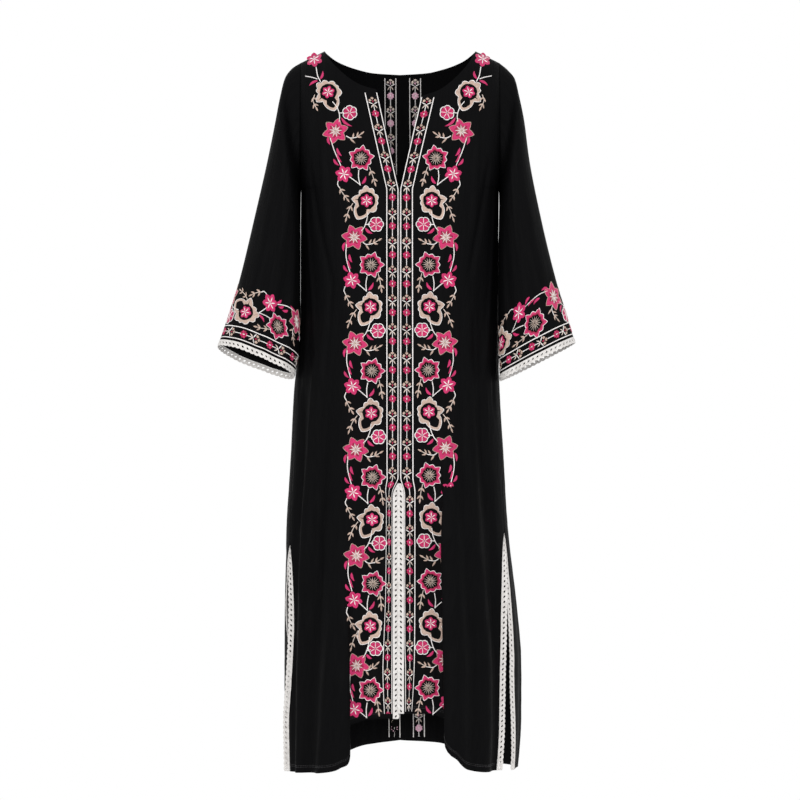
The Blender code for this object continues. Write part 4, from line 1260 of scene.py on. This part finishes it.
VineStep = namedtuple("VineStep", "kind path size")
VINE = [
    VineStep("stem", ((-0.027, 0.045), (-0.0250, 0.032), (-0.0195, 0.0185), (-0.0130, 0.011)), 0.0),
    VineStep("stem", ((-0.0215, 0.0222), (-0.0300, 0.0224)), 0.0),
    VineStep("leaf", ((-0.0210, 0.0160), (-0.0325, 0.0062)), 0.0042),
    VineStep("stem", ((0.0140, -0.0120), (0.0146, -0.0340), (0.0080, -0.0610)), 0.0),
    VineStep("leaf", ((0.0165, -0.0090), (0.0190, -0.0240)), 0.0042),
    VineStep("leaf", ((0.0085, -0.0300), (0.0040, -0.0440)), 0.0042),
    VineStep("leaf", ((0.0110, -0.0410), (0.0060, -0.0550)), 0.0040),
    VineStep("leaf", ((0.0190, -0.0490), (0.0110, -0.0605)), 0.0040),
    VineStep("stem", ((-0.0225, -0.0690), (-0.0205, -0.0820), (-0.0215, -0.0960)), 0.0),
    VineStep("stem", ((-0.0040, -0.0800), (-0.0135, -0.0880), (-0.0215, -0.0950)), 0.0),
    VineStep("leaf", ((-0.0245, -0.0930), (-0.0335, -0.0800)), 0.0042),
    VineStep("stem", ((0.0160, -0.0860), (0.0185, -0.0940), (0.0150, -0.1010)), 0.0),
    VineStep("sprig", ((0.0170, -0.0965), (0.0125, -0.1080), (0.0060, -0.1190)), 0.0),
    VineStep("sprig", ((-0.0420, -0.0640), (-0.0455, -0.0780), (-0.0475, -0.0910)), 0.0),
    VineStep("sprig", ((-0.0040, -0.1270), (0.0045, -0.1390), (0.0100, -0.1530)), 0.0),
    VineStep("stem", ((-0.0150, -0.0090), (-0.0215, -0.0128), (-0.0330, -0.0115)), 0.0),
    VineStep("sprig", ((-0.0300, -0.0122), (-0.0370, -0.0090), (-0.0420, -0.0062)), 0.0),
    VineStep("beige_leaf", ((-0.0255, -0.0128), (-0.0305, -0.0040)), 0.0034),
    VineStep("beige_leaf", ((-0.0200, -0.0130), (-0.0262, -0.0222)), 0.0034),
    VineStep("star", ((0.0, 0.0),), 0.0240),
    VineStep("round", ((-0.0403, 0.0224),), 0.0138),
    VineStep("jagged", ((-0.0296, -0.0486),), 0.0222),
    VineStep("white_star", ((0.0046, -0.0755),), 0.0152),
    VineStep("big", ((-0.0287, -0.1230),), 0.0262),
]
SHORT_SPRIG_START = -0.0300
LEAF_FULLNESS = 1.25
FLOWERS = {"star": star_flower, "round": round_flower, "jagged": jagged_flower,
           "white_star": white_star_flower, "big": big_flower}


def draw_greenery(work, step, points):
    """A stem, a leaf or a sprig of the vine, through its points on the cloth."""
    needle = Needle(work, (0, 0))
    if step.kind == "leaf":
        needle.leaf(points[0], points[1], step.size * LEAF_FULLNESS, "pink", LEAF_BEND)
    elif step.kind == "beige_leaf":
        needle.leaf(points[0], points[1], step.size, "beige")
    elif step.kind == "stem":
        needle.stem(points)
    else:
        sprig(needle, points, 1 if step.path[0][0] == SHORT_SPRIG_START else 2)


def draw_vine(work, repeats, move, turn, keep, mirrored=False, fuller=1.0):
    """Draws repeats of the vine: move places its points, turn tilts its flowers, keep says which stay."""
    for repeat in repeats:
        for step in VINE:
            points = np.array([move(repeat, point) for point in step.path])
            if not keep(points.mean(axis=0), step):
                continue
            if step.kind in FLOWERS:
                FLOWERS[step.kind](Needle(work, points[0], turn(points[0]), mirrored), step.size * fuller)
            else:
                draw_greenery(work, step, points)


def silk(name):
    """Rayon embroidery thread: its own colour, fine slanting threads and a soft gloss. Its colour is
    darker between the threads and lighter on their crowns as painted shade and light, mixed with uneven tone.
    """
    material, shader, first = new_finish(name, Specular_IOR_Level=0.3, Sheen_Weight=0.15, Sheen_Roughness=0.4)
    colour = first.node("ShaderNodeVertexColor", {"layer_name": "thread_colour"})
    place = first.node("ShaderNodeUVMap", {"uv_map": "thread"})
    along, side = (first.node("ShaderNodeSeparateXYZ", None, {0: place}, axis) for axis in range(2))
    thread = ((along + side * 0.35) * (2 * math.pi / THREAD_PITCH)).sine() * 0.5 + 0.5
    spot = first.node("ShaderNodeTexCoord", None, None, "Object")
    uneven = first.node("ShaderNodeTexNoise", None, {"Vector": spot, "Scale": 420.0, "Detail": 2.0})
    # Painted shade and light across the threads: the colour is darker in the grooves and lighter on the
    # crowns, mixed with uneven tone from the noise.
    light = (thread * 0.4 + uneven * 1.5 - 0.35).blend((0.58, 0.56, 0.57, 1.0), (1.06, 1.06, 1.06, 1.0))
    shade = first.node("ShaderNodeMix", {"data_type": "RGBA", "blend_type": "MULTIPLY"},
                       {0: 1.0, 6: colour, 7: light}, 2)
    feed(shader, "Base Color", shade)
    feed(shader, "Roughness", thread * 0.15 + 0.42)
    bump = first.node("ShaderNodeBump", None, {"Height": thread, "Strength": 0.5, "Distance": 0.0002})
    feed(shader, "Normal", bump)
    return material


SILK = silk("embroidery_thread")


def lay_on(name, work, surface, facing, finish, covered=None):
    """A mesh of the embroidery on a surface that gives points from flat ones, less what a fold covers."""
    flat, lift, colour, thread, faces = work.joined()
    if covered is not None:
        faces = faces[~covered(flat)[faces].any(axis=1)]
    step = 0.0006
    across = surface(flat + (step, 0)) - surface(flat - (step, 0))
    up = surface(flat + (0, step)) - surface(flat - (0, step))
    normal = np.cross(across, up) * facing
    normal /= np.maximum(np.linalg.norm(normal, axis=1, keepdims=True), 1e-12)
    points = surface(flat) + normal * lift[:, None]
    return thread_mesh(name, points, colour, thread, faces if facing > 0 else faces[:, ::-1], finish)


def thread_mesh(name, points, colour, thread, faces, finish):
    mesh = bpy.data.meshes.new(name)
    mesh.from_pydata(points.tolist(), [], faces.tolist())
    mesh.shade_smooth()
    layer = mesh.color_attributes.new(name="thread_colour", type="FLOAT_COLOR", domain="POINT")
    layer.data.foreach_set("color", np.c_[colour, np.ones(len(colour))].astype(np.float32).ravel())
    corners = np.empty(len(mesh.loops), dtype=np.int32)
    mesh.loops.foreach_get("vertex_index", corners)
    mesh.uv_layers.new(name="thread").data.foreach_set("uv", thread[corners].astype(np.float32).ravel())
    mesh.materials.append(finish)
    return mesh


def sew_on(piece):
    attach(piece, "root")


def sewn_piece(name, mesh):
    piece = bpy.data.objects.new(name, mesh)
    bpy.context.scene.collection.objects.link(piece)
    sew_on(piece)


FOLD_ROUNDS = 30
INNERMOST = 0.0002


def fold_turn(side, z):
    """Where a front folds over: its middle, how far it laps over, and half the fold's width."""
    lap = [lap for lap in OVERLAPS if lap.side == side][0]
    run = np.clip((lap.start - z) / (lap.start - FOLD_TABLE_HEM), 0, 1)
    middle = lap.x_top + (lap.x_hem - lap.x_top) * run
    depth = lap.lap * ease((lap.start - z) / (lap.start - lap.full))
    return middle, depth, lap.half_width


def fold_edge(side, z):
    """Whether the cloth turns over at a height, and where: before the fold and as seen."""
    middle, depth, reach = fold_turn(side, z)
    steep = math.pi * depth / reach
    turn = np.arccos(1 / np.maximum(steep, 1.0))
    before = middle - reach / math.pi * turn
    return steep > 1.0, before, before + depth * np.sin(turn)


def before_fold(side, out, z):
    """Distance out before the fold of a point wanted at a distance out on the finished front."""
    middle, depth, reach = fold_turn(side, z)
    turns, before, _ = fold_edge(side, z)
    low = middle - reach
    high = np.where(turns, before, middle + reach)
    for _ in range(FOLD_ROUNDS):
        half = (low + high) / 2
        over = half - depth * np.sin(math.pi * (half - middle) / reach) > out
        high = np.where(over, half, high)
        low = np.where(over, low, half)
    return np.where(np.abs(out - middle) < reach, (low + high) / 2, out)


def front_surface(side):
    """Surface of a front by distance out from the centre as seen, and height."""
    def surface(flat):
        z = flat[:, 1]
        out = np.maximum(before_fold(side, flat[:, 0], z), INNERMOST)
        points = body_point(side, angle_of(out / half_width(side, z)), z, "front")
        points[:, 0] *= 1 - armhole_inset(z)
        return points
    return surface


NeckBend = namedtuple("NeckBend", "z out rise")
NECK_BEND = [
    NeckBend(-0.340, 0.0000, 0.0000),
    NeckBend(-0.278, 0.0053, 0.0000),
    NeckBend(-0.234, 0.0120, 0.0000),
    NeckBend(-0.200, 0.0168, 0.0005),
    NeckBend(-0.154, 0.0320, 0.0008),
    NeckBend(-0.130, 0.0480, 0.0110),
    NeckBend(-0.090, 0.0730, 0.0080),
    NeckBend(-0.042, 0.0660, 0.0250),
]
SPRAY_FROM = -0.075
VINE_END = {-1: -1.188, 1: -1.180}
NECK_SPRAY = [
    VineStep("stem", ((0.1500, -0.0330), (0.1468, -0.0500), (0.1411, -0.0620)), 0.0),
    VineStep("stem", ((0.1690, -0.0492), (0.1568, -0.0524), (0.1468, -0.0564)), 0.0),
    VineStep("leaf", ((0.1422, -0.0564), (0.1377, -0.0418)), 0.00416),
    VineStep("leaf", ((0.1468, -0.0597), (0.1615, -0.0677)), 0.00416),
]
NECK_SPRAY_SHIFT = {-1: 0.0, 1: 0.0055}
SIDE_SHIFT = {-1: 0.0, 1: -0.0055}
LOWER_SHIFT = {-1: 0.0, 1: 0.0065}
LOWER_RETURN = 0.4
LOW_SQUEEZE = 0.18
LOW_SLANT = 0.2
LOW_DROP = 0.0012
LOW_SLANT_FROM = 0.051
RIGHT_RISE = 0.004
FLOWER_LEAN = -0.9
TRIM_REACH = 0.006
TOP_SHARE = 0.55
Stretch = namedtuple("Stretch", "start run")
RISE_RUN = Stretch(-0.30, 0.60)
LOWER_RUN = Stretch(-0.60, 0.30)
RETURN_RUN = Stretch(-1.00, 0.10)
SIDE_RUN = Stretch(-0.35, -0.15)
HEM_RUN = Stretch(-0.93, 0.14)
LEAN_RUN = Stretch(-0.26, -0.22)


def passed(stretch, z):
    """From 0 to 1 as a height passes through a stretch, downwards, or upwards where its run is negative."""
    return float(ease((stretch.start - z) / stretch.run))


def bent(side, start, point):
    """Place on the cloth of a point of the vine; near the neck the vine leans out to the shoulder."""
    z = VINE_TOP_STAR_Z - VINE_PERIOD * start + point[1]
    if side > 0:
        z += RIGHT_RISE * passed(RISE_RUN, z)
    x = VINE_STAR_X + VINE_DRIFT * (start - 1) + point[0]
    knots = column(NECK_BEND, "z")
    lean = float(smooth(knots, column(NECK_BEND, "out"), z))
    rise = float(smooth(knots, column(NECK_BEND, "rise"), z))
    low = passed(LOWER_RUN, z) - LOWER_RETURN * passed(RETURN_RUN, z)
    x += lean + SIDE_SHIFT[side] * passed(SIDE_RUN, z) + LOWER_SHIFT[side] * low
    if side < 0:
        near_hem = passed(HEM_RUN, z)
        z -= near_hem * (LOW_DROP + LOW_SLANT * (x - LOW_SLANT_FROM))
        x = VINE_STAR_X + (x - VINE_STAR_X) * (1 - LOW_SQUEEZE * near_hem)
    return np.array([x, z + rise])


for side, label in SIDES:
    work = Embroidery(41 + side)

    def lean_turn(point):
        return FLOWER_LEAN * passed(LEAN_RUN, point[1])

    def on_cloth(point, step):
        top = float(front_top(side, np.array([point[0]]))[0])
        reach = step.size if step.kind in FLOWERS else TRIM_REACH
        above = point[1] > SPRAY_FROM and step.kind not in FLOWERS
        return point[1] + reach * TOP_SHARE < top and point[1] - reach > VINE_END[side] and not above

    def move(repeat, point):
        return bent(side, repeat, point)

    draw_vine(work, range(-1, 6), move, lean_turn, on_cloth)
    for step in NECK_SPRAY:
        draw_greenery(work, step, np.array(step.path) - (NECK_SPRAY_SHIFT[side], 0))

    def covered(flat):
        turns, _, shown = fold_edge(side, flat[:, 1])
        return turns & (flat[:, 0] > shown)

    mesh = lay_on("vine_" + label, work, front_surface(side), side, SILK, covered)
    sewn_piece("front_vine_" + label, mesh)

# Narrow bands of tulips and small pink flowers between two corded lines: one down each front beside
# the slit and the centre seam, and two down the back, whose paler wrong side shows inside.
BAND_WIDTH = 0.0200
BAND_PITCH = 0.0503
BAND_LINE = 0.0018
BAND_STEPS = 12
BAND_ROWS = 320
BAND_THREADS = ("pink", "rose", "beige", "white")
PALE_THREADS = ("pale", "pale", "cream", "white")


def band_unit(name, flip, pitch, crown_at, pale=False):
    """One repeat of the band, drawn along x and across y, then brought to one unit each way."""
    work = Embroidery(7)
    pink, rose, beige, white = PALE_THREADS if pale else BAND_THREADS
    needle = Needle(work, (0, 0))
    for edge in (-BAND_WIDTH / 2, BAND_WIDTH / 2):
        needle.strip(np.array([(pitch * i / BAND_STEPS, edge) for i in range(BAND_STEPS + 1)]),
                     np.full(BAND_STEPS + 1, BAND_LINE / 2), white, 0.0003, 0.0004)
    crown = np.array([crown_at, 0.0])
    for turn in (-100, 180, 100):
        way = heading(math.radians(turn))
        needle.leaf(crown + way * 0.0022, crown + way * 0.0070, 0.0066, beige, blunt=1.3)
    needle.leaf(crown + (-0.0012, 0), crown + (0.0036, 0), 0.0030, rose, level=0.0004)
    cross = crown + (0.0068, 0)
    for hand in (-1, 1):
        back_tip = cross + (-0.0048, hand * 0.0086)
        front_tip = cross + (0.0072, hand * 0.0052)
        needle.leaf(cross, back_tip, 0.0020, white, level=0.0003, blunt=1.0)
        needle.leaf(cross, front_tip, 0.0022, "cream", 0.06 * hand, level=0.0003, blunt=1.0)
    flower = cross + (0.0178, 0)
    needle.stem((cross, flower - (0.005, 0)), white, 0.0015, 5)
    needle.stem((flower + (0.005, 0), crown + (pitch - 0.0075, 0)), white, 0.0015, 6)
    for i in range(8):
        way = heading(2 * math.pi * (i + 0.5) / 8)
        petal = pink if i % 2 else rose
        needle.leaf(flower + way * 0.0006, flower + way * 0.0068, 0.0046, petal, blunt=1.5, steps=4)
    needle.leaf(flower - (0.0022, 0), flower + (0.0022, 0), 0.0024, white, level=0.0008, steps=4)
    flat, lift, colour, thread, faces = work.joined()
    points = np.c_[flat[:, 0] / pitch, flat[:, 1] / BAND_WIDTH + 0.5, lift]
    return thread_mesh(name, points, colour, thread, faces[:, ::-1] if flip else faces, SILK)


BAND_TOP = {-1: -0.0845, 1: -0.0930}
FRONT_CROWN = {-1: 0.0155, 1: 0.0075}
BAND_HEM = {-1: -1.1790, 1: -1.1750}
BandEdge = namedtuple("BandEdge", "z left_inner left_outer right_inner right_outer")
BAND_EDGES = [
    BandEdge(-0.080, 0.0010, 0.0215, 0.0010, 0.0225),
    BandEdge(-0.257, 0.0034, 0.0230, 0.0012, 0.0216),
    BandEdge(-0.760, 0.0034, 0.0226, 0.0012, 0.0226),
    BandEdge(-0.800, 0.0014, 0.0112, 0.0010, 0.0190),
    BandEdge(-0.950, 0.0012, 0.0122, 0.0012, 0.0190),
    BandEdge(-1.060, 0.0014, 0.0158, 0.0014, 0.0184),
    BandEdge(-1.100, 0.0016, 0.0172, 0.0026, 0.0176),
    BandEdge(-1.190, 0.0014, 0.0142, 0.0024, 0.0126),
]
for side, label in SIDES:
    z = np.linspace(BAND_TOP[side], BAND_HEM[side], BAND_ROWS)
    own_edge = inner_edge(side, z)
    rows = []
    for name in ("inner", "outer"):
        offset = smooth(column(BAND_EDGES, "z"), column(BAND_EDGES, label + "_" + name), z)
        flat = np.stack([own_edge + offset, z], axis=1)
        rows.append(front_surface(side)(flat))
    unit = band_unit("front_band_unit", side < 0, BAND_PITCH, FRONT_CROWN[side])
    length = (BAND_TOP[side] - BAND_HEM[side]) / BAND_PITCH
    sew_on(along_strip("front_band_" + label, unit, rows[0], rows[1], length, side, SILK))


def back_surface(flat):
    """Surface of the back by signed distance from its middle, and height."""
    points = np.empty((len(flat), 3))
    for side in (-1, 1):
        own = (flat[:, 0] < 0) == (side < 0)
        out = np.maximum(np.abs(flat[own, 0]), INNERMOST)
        z = flat[own, 1]
        points[own] = body_point(side, 180 - angle_of(out / half_width(side, z)), z, "back")
    return points


BACK_BAND_OFF = 0.0226
BACK_CROWN = 0.0090
BACK_MIDDLE_TOP = 0.0050
BACK_MIDDLE_HEM = 0.0124
BACK_BAND_TOP = -0.0400
BACK_BAND_HEM = -1.2480
BackBand = namedtuple("BackBand", "name flip pale inwards lift")
BACK_BANDS = [
    BackBand("back_band_", True, False, 0.0, -1.0),
    BackBand("back_band_reverse_", False, True, CLOTH_WALL, 0.8),
]
for side, label in SIDES:
    z = np.linspace(BACK_BAND_TOP, BACK_BAND_HEM, BAND_ROWS)
    drift = BACK_MIDDLE_TOP + (BACK_MIDDLE_HEM - BACK_MIDDLE_TOP) * (z - z[0]) / (z[-1] - z[0])
    rows = []
    for edge in (-BAND_WIDTH / 2, BAND_WIDTH / 2):
        rows.append(back_surface(np.stack([drift + side * BACK_BAND_OFF + edge, z], axis=1)))
    length = (z[0] - z[-1]) / BAND_PITCH
    for band in BACK_BANDS:
        unit = band_unit(band.name + "unit", band.flip, BAND_PITCH, BACK_CROWN, band.pale)
        lines = [row - (0, band.inwards, 0) for row in rows]
        sew_on(along_strip(band.name + label, unit, lines[0], lines[1], length, band.lift, SILK))

# Cuff embroidery: the same vine turned on its side in an arch over a band of tulips, worked flat
# before the sleeve was closed under the arm.
CUFF_BAND_LOW = 0.0050
CUFF_BAND_HIGH = 0.0260
CUFF_VINE_MIDDLE = {-1: 0.0835, 1: 0.0815}
CUFF_CROWN = {-1: 0.0052, 1: 0.0360}
CUFF_FULLER = {-1: 1.06, 1: 1.14}
CUFF_START = {-1: 0.17639, 1: 0.042}
CUFF_SCALE = {-1: 0.93, 1: -1.14}
CUFF_BEFORE = 0.93
CUFF_POINTS = 721
CUFF_TRIM_REACH = 0.004
CUFF_END_SHARE = 0.6
CUFF_VINE_CLEAR = 0.003
CUFF_BAND_INSET = 0.0004
CUFF_BAND_ROWS = 260


def cuff_surface(side):
    """Surface of a sleeve by distance round from its outer line and up from its end."""
    around = np.linspace(-180, 180, CUFF_POINTS)
    ring = sleeve_point(side, around, 1.0)
    run = run_along(ring)
    run -= run[CUFF_POINTS // 2]
    before = sleeve_point(side, around, CUFF_BEFORE)
    speed = np.linalg.norm(ring - before, axis=1) / (1 - CUFF_BEFORE)

    def surface(flat):
        turn = np.interp(flat[:, 0], run, around)
        rate = np.interp(flat[:, 0], run, speed)
        return sleeve_point(side, turn, 1 - flat[:, 1] / rate)
    return surface, float(run[0]), float(run[-1])


for side, label in SIDES:
    surface, low, high = cuff_surface(side)
    mirrored = CUFF_SCALE[side] > 0
    work = Embroidery(61 + side)

    def along_cuff(start, point):
        along = CUFF_START[side] + CUFF_SCALE[side] * (point[1] - VINE_PERIOD * start)
        return np.array([along, CUFF_VINE_MIDDLE[side] + point[0]])

    def inside_seam(point, step):
        reach = CUFF_END_SHARE * (step.size if step.kind in FLOWERS else CUFF_TRIM_REACH)
        return low + reach < point[0] < high - reach and point[1] > CUFF_BAND_HIGH + CUFF_VINE_CLEAR

    def quarter_turn(point):
        return 0.0 if mirrored else math.pi / 2

    draw_vine(work, range(-3, 4), along_cuff, quarter_turn, inside_seam, mirrored, CUFF_FULLER[side])
    sewn_piece("cuff_vine_" + label, lay_on("cuff_vine_" + label, work, surface, -side, SILK))

    around = np.linspace(low + CUFF_BAND_INSET, high - CUFF_BAND_INSET, CUFF_BAND_ROWS)
    rows = [surface(np.stack([around, np.full_like(around, up)], axis=1))
            for up in (CUFF_BAND_LOW, CUFF_BAND_HIGH)]
    repeats = round((high - low) / BAND_PITCH)
    if side < 0:
        rows = [row[::-1] for row in rows]
    unit = band_unit("cuff_band_unit", True, (high - low) / repeats, CUFF_CROWN[side])
    sew_on(along_strip("cuff_band_" + label, unit, rows[0], rows[1], repeats, -1.0, SILK))

# Stitching that edges the dress, and a painted highlight: a pale unbroken strip down the
# centre-front seam stands for light caught by the pressed seam; two rows of dark lockstitch above
# every hem are sewn through both layers of the turned-up cloth.
STITCH_PITCH = 0.0034
STITCH_WIDTH = 0.0008
SEAM_STITCH_INSET = 0.004
SEAM_STITCH_OUT = 0.0001
SEAM_STITCH_POINTS = 200
HEM_STITCH_UP = (0.0095, 0.0122)
HEM_STITCH_CLEAR = 0.006
HEM_STITCH_CLEAR_DEGREES = 1.8
HEM_STITCH_POINTS = 220


def stitch_unit(name, flip, colour, fill):
    """One stitch, brought to one unit each way; fill is the share of the pitch that shows."""
    work = Embroidery(5)
    size = np.array([STITCH_PITCH, STITCH_WIDTH])
    path = np.array([(0.5 - fill / 2, 0.5), (0.5, 0.5), (0.5 + fill / 2, 0.5)]) * size
    half = np.array([0.32, 0.5, 0.32]) * STITCH_WIDTH
    Needle(work, (0, 0)).strip(path, half, colour, 0.0001, 0.00018, 3)
    flat, lift, colour, thread, faces = work.joined()
    points = np.c_[flat / size, lift]
    return thread_mesh(name, points, colour, thread, faces[:, ::-1] if flip else faces, SILK)


def stitch_row(name, side, low, high, colour, fill):
    unit = stitch_unit(name + "_unit", side < 0, colour, fill)
    sew_on(along_strip(name, unit, low, high, run_length(low) / STITCH_PITCH, side, SILK))


# Painted highlight: a pale unbroken strip along the pressed centre-front seam, where it catches the light.
z = np.linspace(NECK_SLIT_BOTTOM - SEAM_STITCH_INSET, FRONT_SLIT_TOP + SEAM_STITCH_INSET, SEAM_STITCH_POINTS)
seam_rows = [front_surface(-1)(np.stack([inner_edge(-1, z) + out, z], axis=1))
             for out in (SEAM_STITCH_OUT, SEAM_STITCH_OUT + STITCH_WIDTH)]
stitch_row("seam_centre_front", -1, seam_rows[0], seam_rows[1], "grey", 1.0)

for side, label in SIDES:
    for panel, table in (("front", FRONT_HEM), ("back", BACK_HEM)):
        for line, up in enumerate(HEM_STITCH_UP):
            share = np.linspace(0, 1, HEM_STITCH_POINTS)
            z = np.full(HEM_STITCH_POINTS, table[-1].left + up)
            for _ in range(EDGE_ROUNDS):
                edge = slit_edge(panel, side, z)
                if panel == "front":
                    start = angle_of((inner_edge(side, z) + HEM_STITCH_CLEAR) / half_width(side, z))
                    angle = start + share * (edge - HEM_STITCH_CLEAR_DEGREES - start)
                else:
                    angle = 180 - share[::-1] * (180 - edge - HEM_STITCH_CLEAR_DEGREES)
                reach = half_width(side, z) * share_at(angle)
                z = (z + hem_height(table, side, reach) + up) / 2
            low = body_point(side, angle, z, panel)
            high = body_point(side, angle, z + STITCH_WIDTH, panel)
            name = "hem_stitch_" + panel + "_" + label + "_" + str(line + 1)
            stitch_row(name, side, low, high, "ink", 0.8)
